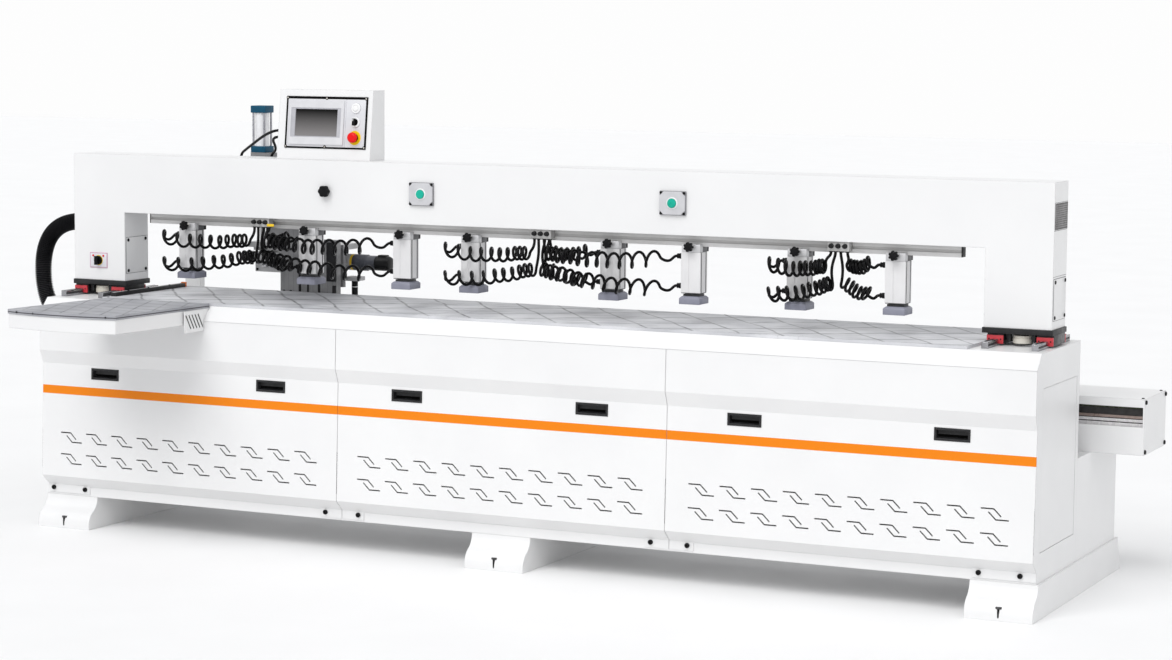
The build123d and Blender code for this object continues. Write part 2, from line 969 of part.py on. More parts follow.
# Portal frame: one welded box section, hollow, with hatch openings in the columns
with BuildPart() as gantry_frame:
    deep = (portal_front, portal_rear)
    hollow = (portal_front + portal_wall, portal_rear - portal_wall)
    slab((-portal_half, portal_half), deep, (column_low, beam_high))
    slab((-portal_inside, portal_inside), deep, (column_low, beam_low), mode=Mode.SUBTRACT)
    slab(
        (-portal_half + portal_wall, portal_half - portal_wall),
        hollow,
        (beam_low + portal_wall, beam_high - portal_wall),
        mode=Mode.SUBTRACT,
    )
    for side in (-1, 1):
        x = tuple(sorted((
            side * (portal_inside + portal_wall),
            side * (portal_half - portal_wall),
        )))
        slab(x, hollow, (column_low + portal_wall, beam_low + 2 * portal_wall), mode=Mode.SUBTRACT)
        hole = tuple(sorted((side * portal_inside, side * portal_half)))
        slab(
            hole,
            (portal_y - hatch / 2, portal_y + hatch / 2),
            (hatch_z - hatch / 2, hatch_z + hatch / 2),
            mode=Mode.SUBTRACT,
        )
    slab(
        (portal_half - portal_wall, portal_half),
        (portal_y - hatch / 2, portal_y + hatch / 2),
        (grille_z - grille_height / 2 + portal_wall, grille_z + grille_height / 2 - portal_wall),
        mode=Mode.SUBTRACT,
    )
    high_boss = (-portal_half, portal_y, conduit_high)
    post(high_boss, left_way, conduit_boss, conduit_boss_height)
    post(
        (-portal_half - conduit_boss_height, portal_y, conduit_high),
        right_way,
        conduit_bore,
        conduit_boss_height + portal_wall,
        mode=Mode.SUBTRACT,
    )
gantry_frame.part.label = "gantry_frame"
export_step(gantry_frame.part, "parts/gantry_frame.step")

# Hatch covers on the columns and the louvred grille on the right column
with BuildPart() as column_covers:
    cover_half = hatch_cover / 2
    faces = (-portal_half, -portal_inside, portal_inside, portal_half)
    for x, way in zip(faces, (-1, 1, -1, 1)):
        slab(
            tuple(sorted((x, x + way * hatch_sheet))),
            (portal_y - cover_half, portal_y + cover_half),
            (hatch_z - cover_half, hatch_z + cover_half),
        )
    grille_x = (portal_half, portal_half + hatch_sheet)
    slab(
        grille_x,
        (portal_y - grille_width / 2, portal_y + grille_width / 2),
        (grille_z - grille_height / 2, grille_z + grille_height / 2),
    )
    slot_pitch = grille_height / (grille_slots + 1)
    for k in range(grille_slots):
        z = grille_z - grille_height / 2 + slot_pitch * (k + 1)
        slab(
            grille_x,
            (portal_y - hatch / 2, portal_y + hatch / 2),
            (z - grille_slot / 2, z + grille_slot / 2),
            mode=Mode.SUBTRACT,
        )
column_covers.part.label = "column_covers"
export_step(column_covers.part, "parts/column_covers.step")

# Ribbed conduit: from the left column round to the left end of the bed
upper_start = -portal_half - conduit_boss_height
lower_start = -bed_half - conduit_boss_height
bend_x = -bed_half - conduit_reach + conduit_bend
straight_high = upper_start - bend_x
straight_side = conduit_high - conduit_low - 2 * conduit_bend
straight_low = lower_start - bend_x
quarter = conduit_bend * math.pi / 2
conduit_length = straight_high + straight_side + straight_low + 2 * quarter


def conduit_station(s):
    """Point and heading of the conduit at a distance along it, as (x, z) pairs."""
    if s <= straight_high:
        return (upper_start - s, conduit_high), (-1, 0)
    s -= straight_high
    if s <= quarter:
        turn = s / conduit_bend
        x = bend_x - conduit_bend * math.sin(turn)
        z = conduit_high - conduit_bend * (1 - math.cos(turn))
        return (x, z), (-math.cos(turn), -math.sin(turn))
    s -= quarter
    if s <= straight_side:
        return (bend_x - conduit_bend, conduit_high - conduit_bend - s), (0, -1)
    s -= straight_side
    if s <= quarter:
        turn = s / conduit_bend
        x = bend_x - conduit_bend * math.cos(turn)
        z = conduit_low + conduit_bend * (1 - math.sin(turn))
        return (x, z), (math.sin(turn), -math.cos(turn))
    s -= quarter
    return (bend_x + s, conduit_low), (1, 0)


def conduit_ring(s, radius):
    """A many sided ring square to the conduit."""
    (x, z), (u, w) = conduit_station(s)
    spot = Plane(origin=(x, portal_y, z), x_dir=(0, 1, 0), z_dir=(u, 0, w))
    with BuildSketch(spot) as ring:
        RegularPolygon(radius, conduit_sides)
    return ring.sketch


with BuildPart() as cable_conduit:
    pitch = conduit_length / conduit_ribs
    rings = []
    bores = []
    for k in range(conduit_ribs):
        s = k * pitch
        rings.append(conduit_ring(s, conduit_radius))
        rings.append(conduit_ring(s + pitch * rib_land, conduit_radius))
        rings.append(conduit_ring(s + pitch * (rib_land + rib_flank), conduit_groove))
        rings.append(conduit_ring(s + pitch * (1 - rib_flank), conduit_groove))
        if k % conduit_bore_step == 0:
            bores.append(conduit_ring(s, conduit_bore))
    rings.append(conduit_ring(conduit_length, conduit_radius))
    bores.append(conduit_ring(conduit_length, conduit_bore))
    loft(rings, ruled=True)
    loft(bores, ruled=True, mode=Mode.SUBTRACT)
cable_conduit.part.label = "cable_conduit"
export_step(cable_conduit.part, "parts/cable_conduit.step")
print("conduit length %.0f bend radius %.0f" % (conduit_length, conduit_bend))

# Clamp rail: grooved aluminium section under the beam
rail_low = beam_low - clamp_rail_height
rail_front = clamp_rail_y - clamp_rail_depth / 2
rail_rear = clamp_rail_y + clamp_rail_depth / 2
groove_middle = beam_low - clamp_rail_height / 2
groove_z = (groove_middle - rail_groove / 2, groove_middle + rail_groove / 2)
with BuildPart() as clamp_rail:
    along = (clamp_rail_left, clamp_rail_right)
    slab(along, (rail_front, rail_rear), (rail_low, beam_low))
    slab(along, (rail_front, rail_front + rail_groove_depth), groove_z, mode=Mode.SUBTRACT)
    slab(along, (rail_rear - rail_groove_depth, rail_rear), groove_z, mode=Mode.SUBTRACT)
clamp_rail.part.label = "clamp_rail"
export_step(clamp_rail.part, "parts/clamp_rail.step")

# Clamps: a bracket hooked on the rail, an air cylinder, a star knob and two hose fittings
web_high = rail_low - run_gap
web_low = web_high - bracket_web
cylinder_high = web_low - seat
cylinder_low = cylinder_high - clamp_length
cylinder_front = clamp_y - clamp_depth / 2
cylinder_rear = clamp_y + clamp_depth / 2
bracket_high = beam_low - bracket_top_gap
front_high = web_high + bracket_front_rise
knob_z = web_high + run_gap
fitting_z = (cylinder_high - fitting_top, cylinder_high - fitting_low)
foot_plate_high = cylinder_low - foot_rest_gap
pad_top = foot_plate_high - foot_plate_height
for number, (x, supply, lane) in enumerate(clamp_plan, start=1):
    wide = (x - clamp_width / 2, x + clamp_width / 2)
    with BuildPart() as clamp:
        front_cheek = (cylinder_front, rail_front - run_gap)
        rear_cheek = (rail_rear + run_gap, rail_rear + run_gap + bracket_cheek)
        slab(wide, (front_cheek[0], rear_cheek[1]), (web_low, web_high))
        slab(wide, front_cheek, (web_high, front_high))
        slab(wide, rear_cheek, (web_high, bracket_high))
        tongue = (groove_z[0] + run_gap, groove_z[1] - run_gap)
        slab(wide, (rail_rear - rail_groove_depth + run_gap, rear_cheek[0]), tongue)
        slab(wide, (cylinder_front, cylinder_rear), (cylinder_low, cylinder_high))
        slab(
            (x + clamp_groove_at - clamp_groove / 2, x + clamp_groove_at + clamp_groove / 2),
            (cylinder_front, cylinder_front + clamp_groove_depth),
            (cylinder_low, cylinder_high),
            mode=Mode.SUBTRACT,
        )
        slot_y = cylinder_front + clamp_slot_back
        for side in ((wide[0], wide[0] + clamp_slot_depth), (wide[1] - clamp_slot_depth, wide[1])):
            slab(
                side,
                (slot_y - clamp_slot / 2, slot_y + clamp_slot / 2),
                (cylinder_low, cylinder_high),
                mode=Mode.SUBTRACT,
            )
        pocket = foot_rod_spread + foot_rod + rod_room
        slab(
            (x - pocket, x + pocket),
            (clamp_y - foot_rod - rod_room, clamp_y + foot_rod + rod_room),
            (cylinder_low, cylinder_low + foot_rod_inside + foot_rest_gap),
            mode=Mode.SUBTRACT,
        )
        hex_bar((x, cylinder_front - seat, knob_z), front_way, 2 * knob_stem, knob_stem_length)
        star(
            (x, cylinder_front - seat - knob_stem_length, knob_z),
            front_way,
            knob_radius,
            knob_waist,
            knob_points,
            knob_thick,
        )
        for z in fitting_z:
            hex_bar((wide[0] - seat, clamp_y, z), left_way, fitting_across, fitting_length - seat)
    clamp.part.label = "clamp_%d" % number
    export_step(clamp.part, "parts/clamp_%d.step" % number)

    with BuildPart() as press_foot:
        for rod in (-foot_rod_spread, foot_rod_spread):
            hex_bar(
                (x + rod, clamp_y, foot_plate_high + seat),
                up_way,
                2 * foot_rod,
                foot_rest_gap + foot_rod_inside - seat,
            )
        slab(
            (wide[0] + foot_plate_inset, wide[1] - foot_plate_inset),
            (cylinder_front + foot_plate_inset, cylinder_rear - foot_plate_inset),
            (pad_top + seat, foot_plate_high),
        )
        with BuildSketch(Plane.XY.offset(pad_top - foot_pad_chamfer)) as shoulder:
            with Locations((x, clamp_y)):
                Rectangle(foot_pad_width, foot_pad_depth)
        extrude(shoulder.sketch, amount=foot_pad_chamfer, taper=foot_pad_slope)
        extrude(shoulder.sketch, amount=foot_pad_chamfer - foot_pad_height)
    press_foot.part.label = "press_foot_%d" % number
    export_step(press_foot.part, "parts/press_foot_%d.step" % number)

# Supply blocks under the beam, in front of the clamp rail
manifold_rear = rail_front - run_gap
manifold_front = manifold_rear - manifold_depth
manifold_low = beam_low - manifold_height
with BuildPart() as air_manifolds:
    for x in manifold_x:
        slab(
            (x - manifold_width / 2, x + manifold_width / 2),
            (manifold_front, manifold_rear),
            (manifold_low, beam_low),
        )
air_manifolds.part.label = "air_manifolds"
export_step(air_manifolds.part, "parts/air_manifolds.step")


def biarc(p, t, q, u):
    """Two arcs from p along t to q along u: the joint and the heading there."""
    v = q - p
    both = v.dot(t + u)
    spread = 2 * (1 - t.dot(u))
    if spread < tiny:
        reach = v.dot(v) / (4 * v.dot(u))
    else:
        reach = (math.sqrt(both * both + spread * v.dot(v)) - both) / spread
    first = p + t * reach
    second = q - u * reach
    return (first + second) / 2, (second - first).normalized()


def arc_radius(p, t, q):
    """Radius of the arc that leaves p along t and ends at q."""
    chord = q - p
    across = (chord - t * chord.dot(t)).length
    return chord.dot(chord) / (2 * max(across, tiny))


def coil_knots(start, way, centre, end, first, turns, far, far_way):
    """Points and headings of a hose: a straight lead, a helix on a line, a straight end."""
    axis = (end - centre).normalized()
    lift = Vector(0, 0, -1)
    down = (lift - axis * lift.dot(axis)).normalized()
    side = (first - axis * first.dot(axis)).normalized()
    steps = 2 * turns
    climb = (end - centre).length / (2 * math.pi * turns)
    tube = 2 * hose_radius
    knots = [(start + way * tube, way)]
    for k in range(steps + 1):
        turn = math.pi * k
        spot = side * math.cos(turn) + down * math.sin(turn)
        heading = down * math.cos(turn) - side * math.sin(turn)
        point = centre + axis * ((end - centre).length * k / steps) + spot * coil_radius
        knots.append((point, (heading * coil_radius + axis * climb).normalized()))
    knots.append((far - far_way * tube, far_way))
    return knots


def hose_plan(x, supply, lane, upper):
    """Where one hose starts, the line its coil is wound on, and where it ends."""
    xm = manifold_x[supply]
    z_fit = fitting_z[0] if upper else fitting_z[1]
    far = Vector(x - clamp_width / 2 - fitting_length, clamp_y, z_fit)
    lane_y = cylinder_front - lane_front
    lead = upper_lead if upper else lower_lead
    port = upper_port if upper else lower_port
    low = manifold_low - (upper_drop if upper else lower_drop)
    front_row = manifold_front + hose_row
    if lane == "left":
        start = Vector(xm - port, front_row, manifold_low)
        centre = Vector(xm - lead, lane_y, low)
        end = Vector(far.X - left_end, lane_y, z_fit - lane_dip)
        return start, centre, end, Vector(0, 1, 0), far
    if lane == "far":
        start = Vector(xm + port, front_row, manifold_low)
        centre = Vector(xm + lead, lane_y, low)
        end = Vector(far.X - far_end, lane_y, z_fit - lane_dip)
        return start, centre, end, Vector(0, 1, 0), far
    start = Vector(xm + (near_port if upper else 0), manifold_rear - hose_row, manifold_low)
    centre = Vector(xm + (near_port if upper else near_lead), clamp_y, low + near_lift)
    end = Vector(far.X - near_end, clamp_y, z_fit + near_lift)
    return start, centre, end, Vector(0, -1, 0), far


def tube_along(runs, radius, sides, across, rings_per_run):
    """A tube of few flat sides on lines and arcs, through rings that don't twist."""
    rings = []
    for number, run in enumerate(runs):
        straight = number in (0, len(runs) - 1)
        count = 1 if straight else rings_per_run
        stops = [k / count for k in range(count)]
        if number == len(runs) - 1:
            stops.append(1.0)
        for stop in stops:
            heading = (run % stop).normalized()
            across = (across - heading * across.dot(heading)).normalized()
            with BuildSketch(Plane(origin=run @ stop, x_dir=across, z_dir=heading)) as ring:
                RegularPolygon(radius, sides)
            rings.append(ring.sketch)
    return loft(rings, ruled=True, mode=Mode.PRIVATE)


def self_gap(wire, length):
    """Least clear gap between two stretches of one hose that are not neighbours."""
    count = int(length / hose_radius)
    points = [tuple(wire @ (k / count)) for k in range(count + 1)]
    skip = math.ceil(math.pi * coil_radius / hose_radius / 2)
    least = length
    for i in range(len(points)):
        for j in range(i + skip, len(points)):
            least = min(least, math.dist(points[i], points[j]))
    return least - 2 * hose_radius


# Coil hoses: one wound tube from a supply block to each clamp fitting
with BuildPart() as coil_hoses:
    tubes = []
    least_gap = bed_length
    least_radius = bed_length
    for x, supply, lane in clamp_plan:
        for upper in (True, False):
            start, centre, end, first, far = hose_plan(x, supply, lane, upper)
            down = Vector(0, 0, -1)
            into = Vector(1, 0, 0)
            knots = coil_knots(start, down, centre, end, first, coil_turns, far, into)
            with BuildLine() as route:
                runs = [Line(start, knots[0][0])]
                for k in range(len(knots) - 1):
                    p, t = knots[k]
                    q, u = knots[k + 1]
                    joint, heading = biarc(p, t, q, u)
                    runs.append(TangentArc(p, joint, tangent=t))
                    runs.append(TangentArc(joint, q, tangent=heading))
                    bends = (arc_radius(p, t, joint), arc_radius(joint, heading, q))
                    least_radius = min(least_radius, *bends)
                runs.append(Line(knots[-1][0], far))
            wire = route.wire()
            tube = tube_along(runs, hose_radius, hose_sides, Vector(0, 1, 0), rings_per_arc)
            least_gap = min(least_gap, self_gap(wire, wire.length))
            print("hose %s to %.0f: length %.0f, volume %.0f" % (lane, x, wire.length, tube.volume))
            tubes.append(tube)
    add(tubes, clean=False, mode=Mode.REPLACE)
coil_hoses.part.label = "coil_hoses"
export_step(coil_hoses.part, "parts/coil_hoses.step")
print("coil hoses: least radius %.1f, least gap to itself %.2f" % (least_radius, least_gap))

# Control box: a leaning steel box on the beam, open behind its panel
box_rear = portal_rear
box_front = box_rear - box_depth
box_lean = box_depth - box_top_depth
box_outline = [
    (box_front, beam_high),
    (box_rear, beam_high),
    (box_rear, beam_high + box_height),
    (box_front + box_lean, beam_high + box_height),
]
face_length = math.hypot(box_lean, box_height)
face_up = (0, box_lean / face_length, box_height / face_length)
face_out = (0, -box_height / face_length, box_lean / face_length)


def box_face(x, up, out=0.0):
    """A plane on the leaning front, at a height along it and a distance off it."""
    return Plane(
        origin=(
            x,
            box_front + face_up[1] * up + face_out[1] * out,
            beam_high + face_up[2] * up + face_out[2] * out,
        ),
        x_dir=right_way,
        z_dir=face_out,
    )


panel_x = (box_left + panel_left, box_right - panel_right)
panel_up = (panel_low, face_length - panel_high)
panel_middle = (panel_x[0] + panel_x[1]) / 2
panel_centre_up = (panel_up[0] + panel_up[1]) / 2
panel_wide = panel_x[1] - panel_x[0]
panel_tall = panel_up[1] - panel_up[0]
cable_y = (box_front + box_rear) / 2
with BuildPart() as control_box:
    prism(box_outline, (box_left, box_right))
    inset = [
        (box_front + box_wall, beam_high + box_wall),
        (box_rear - box_wall, beam_high + box_wall),
        (box_rear - box_wall, beam_high + box_height - box_wall),
        (box_front + box_lean + box_wall, beam_high + box_height - box_wall),
    ]
    prism(inset, (box_left + box_wall, box_right - box_wall), mode=Mode.SUBTRACT)
    with BuildSketch(box_face(panel_middle, panel_centre_up)) as window:
        Rectangle(panel_wide - 2 * panel_open_rim, panel_tall - 2 * panel_open_rim)
    extrude(window.sketch, amount=-2 * box_wall, mode=Mode.SUBTRACT)
control_box.part.label = "control_box"
export_step(control_box.part, "parts/control_box.step")

# Control panel: a plate over the opening, with holes for the controls
control_x = panel_x[1] - control_from_right
with BuildPart() as control_panel:
    with BuildSketch(box_face(panel_middle, panel_centre_up)) as plate:
        Rectangle(panel_wide, panel_tall)
    extrude(plate.sketch, amount=panel_plate)
    holes = ((start_up, start_radius), (selector_up, selector_radius), (stop_up, stop_stem))
    for up, radius in holes:
        disc(box_face(control_x, panel_up[0] + up), radius + run_gap, panel_plate, Mode.SUBTRACT)
control_panel.part.label = "control_panel"
export_step(control_panel.part, "parts/control_panel.step")

# Touch screen on the control panel
with BuildPart() as touch_screen:
    screen_x = panel_x[0] + screen_left + screen_width / 2
    screen_up = panel_up[0] + screen_low + screen_height / 2
    with BuildSketch(box_face(screen_x, screen_up, panel_plate)) as bezel:
        Rectangle(screen_width, screen_height)
    extrude(bezel.sketch, amount=screen_thick)
touch_screen.part.label = "touch_screen"
export_step(touch_screen.part, "parts/touch_screen.step")

# Start button: a flush cap that sinks into the panel
with BuildPart() as start_button:
    seat_plane = box_face(control_x, panel_up[0] + start_up, panel_plate - button_inside)
    disc(seat_plane, start_radius, start_proud + button_inside)
start_button.part.label = "start_button"
export_step(start_button.part, "parts/start_button.step")

# Selector: a disc with a grip bar
with BuildPart() as selector_knob:
    seat_plane = box_face(control_x, panel_up[0] + selector_up, panel_plate - button_inside)
    disc(seat_plane, selector_radius, button_inside + selector_height)
    with BuildSketch(seat_plane.offset(button_inside + selector_height)) as bar:
        Rectangle(selector_bar, 2 * selector_radius - selector_bar)
    extrude(bar.sketch, amount=selector_height)
selector_knob.part.label = "selector_knob"
export_step(selector_knob.part, "parts/selector_knob.step")

# Stop button: a mushroom head on a stem
with BuildPart() as stop_button:
    seat_plane = box_face(control_x, panel_up[0] + stop_up, panel_plate - button_inside)
    disc(seat_plane, stop_stem, button_inside + stop_proud)
    disc(seat_plane.offset(button_inside + stop_proud), stop_head, stop_head_thick)
stop_button.part.label = "stop_button"
export_step(stop_button.part, "parts/stop_button.step")

# Plates on the portal front that carry the bench buttons and the main switch
with BuildPart() as button_plates:
    for x in plate_x:
        slab(
            (x - plate_width / 2, x + plate_width / 2),
            (portal_front - plate_thick, portal_front),
            (plate_z - plate_height / 2, plate_z + plate_height / 2),
        )
        post(
            (x, portal_front, plate_z),
            front_way,
            bench_button_radius + run_gap,
            plate_thick,
            mode=Mode.SUBTRACT,
        )
    slab(
        (switch_x - switch_width / 2, switch_x + switch_width / 2),
        (portal_front - switch_plate, portal_front),
        (switch_z - switch_height / 2, switch_z + switch_height / 2),
    )
button_plates.part.label = "button_plates"
export_step(button_plates.part, "parts/button_plates.step")

# Bench buttons: caps in the two front plates
for name, x in zip(("left_button", "right_button"), plate_x):
    with BuildPart() as bench_button:
        post(
            (x, portal_front - plate_thick / 2, plate_z),
            front_way,
            bench_button_radius,
            plate_thick / 2 + bench_button_proud,
        )
    bench_button.part.label = name
    export_step(bench_button.part, "parts/%s.step" % name)

# Regulator knob on the beam front
with BuildPart() as regulator_knob:
    star(
        (regulator_x, portal_front - run_gap, regulator_z),
        front_way,
        regulator_radius,
        regulator_waist,
        regulator_points,
        regulator_height,
    )
regulator_knob.part.label = "regulator_knob"
export_step(regulator_knob.part, "parts/regulator_knob.step")

# Main switch: a disc with a grip bar on the left column
with BuildPart() as main_switch_knob:
    switch_face = portal_front - switch_plate - run_gap
    post((switch_x, switch_face, switch_z), front_way, switch_radius, switch_disc)
    slab(
        (switch_x - switch_bar / 2, switch_x + switch_bar / 2),
        (switch_face - switch_disc - switch_bar_height, switch_face - switch_disc),
        (switch_z - switch_radius, switch_z + switch_radius),
    )
main_switch_knob.part.label = "main_switch_knob"
export_step(main_switch_knob.part, "parts/main_switch_knob.step")


def rounded_route(points, radius):
    """Lines joined by tangent arcs."""
    runs = []
    corners = [Vector(*p) for p in points]
    last = corners[0]
    for k in range(1, len(corners) - 1):
        before = (corners[k] - corners[k - 1]).normalized()
        after = (corners[k + 1] - corners[k]).normalized()
        half_turn = math.acos(max(-1, min(1, before.dot(after)))) / 2
        shorter = min((corners[k] - corners[k - 1]).length, (corners[k + 1] - corners[k]).length)
        reach = min(radius * math.tan(half_turn), bend_share * shorter)
        entry = corners[k] - before * reach
        leave = corners[k] + after * reach
        runs.append(Line(last, entry))
        runs.append(TangentArc(entry, leave, tangent=before))
        print("cable bend radius %.0f" % (reach / math.tan(half_turn)))
        last = leave
    runs.append(Line(last, corners[-1]))
    return runs


# Control cables: from glands on the control box over the beam into its rear face
with BuildPart() as control_cables:
    leads = []
    for k, exit_x in enumerate(cable_exit_x):
        gland_z = beam_high + cable_gland_z - k * cable_gland_gap
        hex_bar((box_left, cable_y, gland_z), left_way, gland_across, gland_length)
        hex_bar((exit_x, portal_rear, cable_exit_z), (0, 1, 0), gland_across, gland_length)
        start = (box_left - gland_length, cable_y, gland_z)
        end = (exit_x, portal_rear + gland_length, cable_exit_z)
        with BuildLine() as route:
            runs = rounded_route(
                [
                    start,
                    (start[0] - cable_lead, cable_y, gland_z),
                    (exit_x, portal_rear + cable_back, beam_high + cable_rise),
                    (exit_x, portal_rear + cable_back, cable_exit_z),
                    end,
                ],
                cable_bend,
            )
        lead = tube_along(runs, cable_radius, cable_sides, Vector(0, 0, 1), rings_per_bend)
        print("control cable: length %.0f, volume %.0f" % (route.wire().length, lead.volume))
        leads.append(lead)
    leads += control_cables.part.solids()
    add(leads, clean=False, mode=Mode.REPLACE)
control_cables.part.label = "control_cables"
export_step(control_cables.part, "parts/control_cables.step")

# Beam housing behind the table: closed box with a long slot towards the table
inner_low = housing_low + housing_wall
inner_high = housing_high - housing_wall
inner_half = housing_half - housing_wall
with BuildPart() as x_axis_housing:
    slab((-housing_half, housing_half), (housing_front, housing_rear), (housing_low, housing_high))
    slab(
        (-inner_half, inner_half),
        (housing_front + housing_wall, inner_beam_front),
        (inner_low, inner_high),
        mode=Mode.SUBTRACT,
    )
    slab(
        (-inner_half, inner_half),
        (inner_beam_front, housing_rear - housing_wall),
        (inner_low, inner_low + inner_beam_margin),
        mode=Mode.SUBTRACT,
    )
    slab(
        (-inner_half, inner_half),
        (inner_beam_front, housing_rear - housing_wall),
        (inner_high - inner_beam_margin, inner_high),
        mode=Mode.SUBTRACT,
    )
    slab(
        (-inner_half, inner_half),
        (inner_beam_front + inner_beam_wall, housing_rear - housing_wall),
        (inner_low + inner_beam_margin + inner_beam_wall, inner_high - inner_beam_margin - inner_beam_wall),
        mode=Mode.SUBTRACT,
    )
    for end in ((-inner_half, -inner_half + x_rail_end), (inner_half - x_rail_end, inner_half)):
        slab(
            end,
            (inner_beam_front, housing_rear - housing_wall),
            (inner_low, inner_high),
            mode=Mode.SUBTRACT,
        )
    slab(
        (-inner_half, inner_half),
        (housing_front, housing_front + housing_wall),
        (slot_low, slot_high),
        mode=Mode.SUBTRACT,
    )
    slab(
        (stop_post_x - stop_post_width / 2, stop_post_x + stop_post_width / 2),
        (stop_post_y, stop_post_y + stop_post_depth),
        (housing_high, stop_post_top),
    )
x_axis_housing.part.label = "x_axis_housing"
export_step(x_axis_housing.part, "parts/x_axis_housing.step")

# Rails inside the housing
with BuildPart() as x_axis_rails:
    for z in x_rail_z:
        slab(
            (-inner_half + x_rail_end, inner_half - x_rail_end),
            (inner_beam_front - x_rail, inner_beam_front),
            (z - x_rail / 2, z + x_rail / 2),
        )
x_axis_rails.part.label = "x_axis_rails"
export_step(x_axis_rails.part, "parts/x_axis_rails.step")

# Saddle: carriage plate on four runners, with an arm out through the slot
head_plate_rear = head_plate_front + head_plate
carriage_rear = inner_beam_front - x_rail - carriage_gap
carriage_front = carriage_rear - carriage_plate
with BuildPart() as head_saddle:
    slab(
        (head_left, head_right),
        (carriage_front, carriage_rear),
        (x_rail_z[0] - runner_half, x_rail_z[1] + runner_half),
    )
    slab(
        (head_left, head_right),
        (head_plate_rear, carriage_front),
        (slot_low + arm_gap, slot_high - arm_gap),
    )
    for x in ((head_left, head_left + runner_length), (head_right - runner_length, head_right)):
        for z in x_rail_z:
            slab(x, (carriage_rear, carriage_rear + runner_reach), (z - runner_half, z + runner_half))
            slab(
                x,
                (carriage_rear + carriage_gap - run_gap, carriage_rear + runner_reach),
                (z - x_rail / 2 - run_gap, z + x_rail / 2 + run_gap),
                mode=Mode.SUBTRACT,
            )
head_saddle.part.label = "head_saddle"
export_step(head_saddle.part, "parts/head_saddle.step")

# Head column: plate bolted to the arm, vertical rails on its back, a mast for the lift cylinder
with BuildPart() as head_column:
    thick = (head_plate_front, head_plate_rear)
    slab((head_left, head_right), thick, (head_plate_low, head_plate_high))
    slab((mast_left, mast_right), thick, (head_plate_high, lift_base - lift_shelf))
    shelf_x = (lift_x - lift_square / 2, mast_right)
    shelf_y = (lift_y - lift_square / 2, lift_y + lift_square / 2)
    slab(shelf_x, shelf_y, (lift_base - lift_shelf, lift_base))
    post(
        (lift_x, lift_y, lift_base),
        down_way,
        lift_rod + rod_guide,
        lift_shelf,
        mode=Mode.SUBTRACT,
    )
    slab((head_right, lug_right), (head_plate_front, lug_rear), (lug_low_z, lug_low_z + lug_thick))
    for x in v_rail_centres:
        slab(
            (x - v_rail / 2, x + v_rail / 2),
            (head_plate_rear + seat, head_plate_rear + v_rail_proud),
            (v_rail_low, v_rail_high),
        )
head_column.part.label = "head_column"
export_step(head_column.part, "parts/head_column.step")

# Lift cylinder on the mast: two caps and a barrel
with BuildPart() as lift_cylinder:
    low_top = lift_base + lift_cap_low
    barrel_top = low_top + lift_barrel
    cap_x = (lift_x - lift_square / 2, lift_x + lift_square / 2)
    slab(cap_x, shelf_y, (lift_base, low_top))
    slab(cap_x, shelf_y, (barrel_top, barrel_top + lift_cap_high))
    slab(
        (cap_x[0] + lift_barrel_inset, cap_x[1] - lift_barrel_inset),
        (shelf_y[0] + lift_barrel_inset, shelf_y[1] - lift_barrel_inset),
        (low_top + seat, barrel_top - seat),
    )
    post((lift_x, lift_y, low_top), up_way, lift_bore, lift_barrel, mode=Mode.SUBTRACT)
    post((lift_x, lift_y, lift_base), up_way, lift_rod + turn_gap, lift_cap_low, mode=Mode.SUBTRACT)
lift_cylinder.part.label = "lift_cylinder"
export_step(lift_cylinder.part, "parts/lift_cylinder.step")

# Lift plate: slides on the column rails, with a shelf that carries the drill unit and the lift rod
lift_front = head_plate_rear + v_runner + side_gap
lift_rear = lift_front + lift_plate_thick
shelf_low = lift_plate_high - lift_shelf_thick
with BuildPart() as lift_plate:
    slab((head_left, head_right), (lift_front, lift_rear), (lift_plate_low, lift_plate_high))
    slab((lift_shelf_left, head_right), (lift_front, lift_shelf_rear), (shelf_low, lift_plate_high))
    slab(
        (lift_shelf_left, head_left - side_gap),
        (lift_shelf_front, lift_front),
        (shelf_low, lift_plate_high),
    )
    slab((head_right, lug_right), (lift_front, lug_rear), (lug_high_z, lug_high_z + lug_thick))
    for x in v_rail_centres:
        z = (v_runner_low, v_runner_low + v_runner_length)
        slab((x - v_runner_half, x + v_runner_half), (lift_front - v_runner, lift_front), z)
        slab(
            (x - v_rail / 2 - run_gap, x + v_rail / 2 + run_gap),
            (lift_front - v_runner, head_plate_rear + v_rail_proud + run_gap),
            z,
            mode=Mode.SUBTRACT,
        )
    for x in y_rail_x:
        slab(
            (x - y_rail / 2, x + y_rail / 2),
            (y_rail_front, y_rail_rear),
            (shelf_low - y_rail_height, shelf_low - seat),
        )
    rod_top = lift_base + lift_cap_low + lift_barrel - lift_cap_high
    post((lift_x, lift_y, lift_plate_high + seat), up_way, lift_rod, rod_top - lift_plate_high)
lift_plate.part.label = "lift_plate"
export_step(lift_plate.part, "parts/lift_plate.step")

# Drill block: gearbox that feeds along the shelf rails
runner_top = shelf_low - side_gap
with BuildPart() as drill_block:
    slab((drill_left, drill_right), (drill_front, drill_rear), (drill_low, drill_high))
    for x in y_rail_x:
        slab(
            (x - y_runner_half, x + y_runner_half),
            (y_runner_front, y_runner_rear),
            (drill_high, runner_top),
        )
        slab(
            (x - y_rail / 2 - run_gap, x + y_rail / 2 + run_gap),
            (y_runner_front, y_runner_rear),
            (shelf_low - y_rail_height - run_gap, runner_top),
            mode=Mode.SUBTRACT,
        )
    for x in spindle_x:
        post(
            (x, drill_front, spindle_z),
            (0, 1, 0),
            spindle_shank + turn_gap,
            spindle_inside + chuck_gap,
            mode=Mode.SUBTRACT,
        )
drill_block.part.label = "drill_block"
export_step(drill_block.part, "parts/drill_block.step")

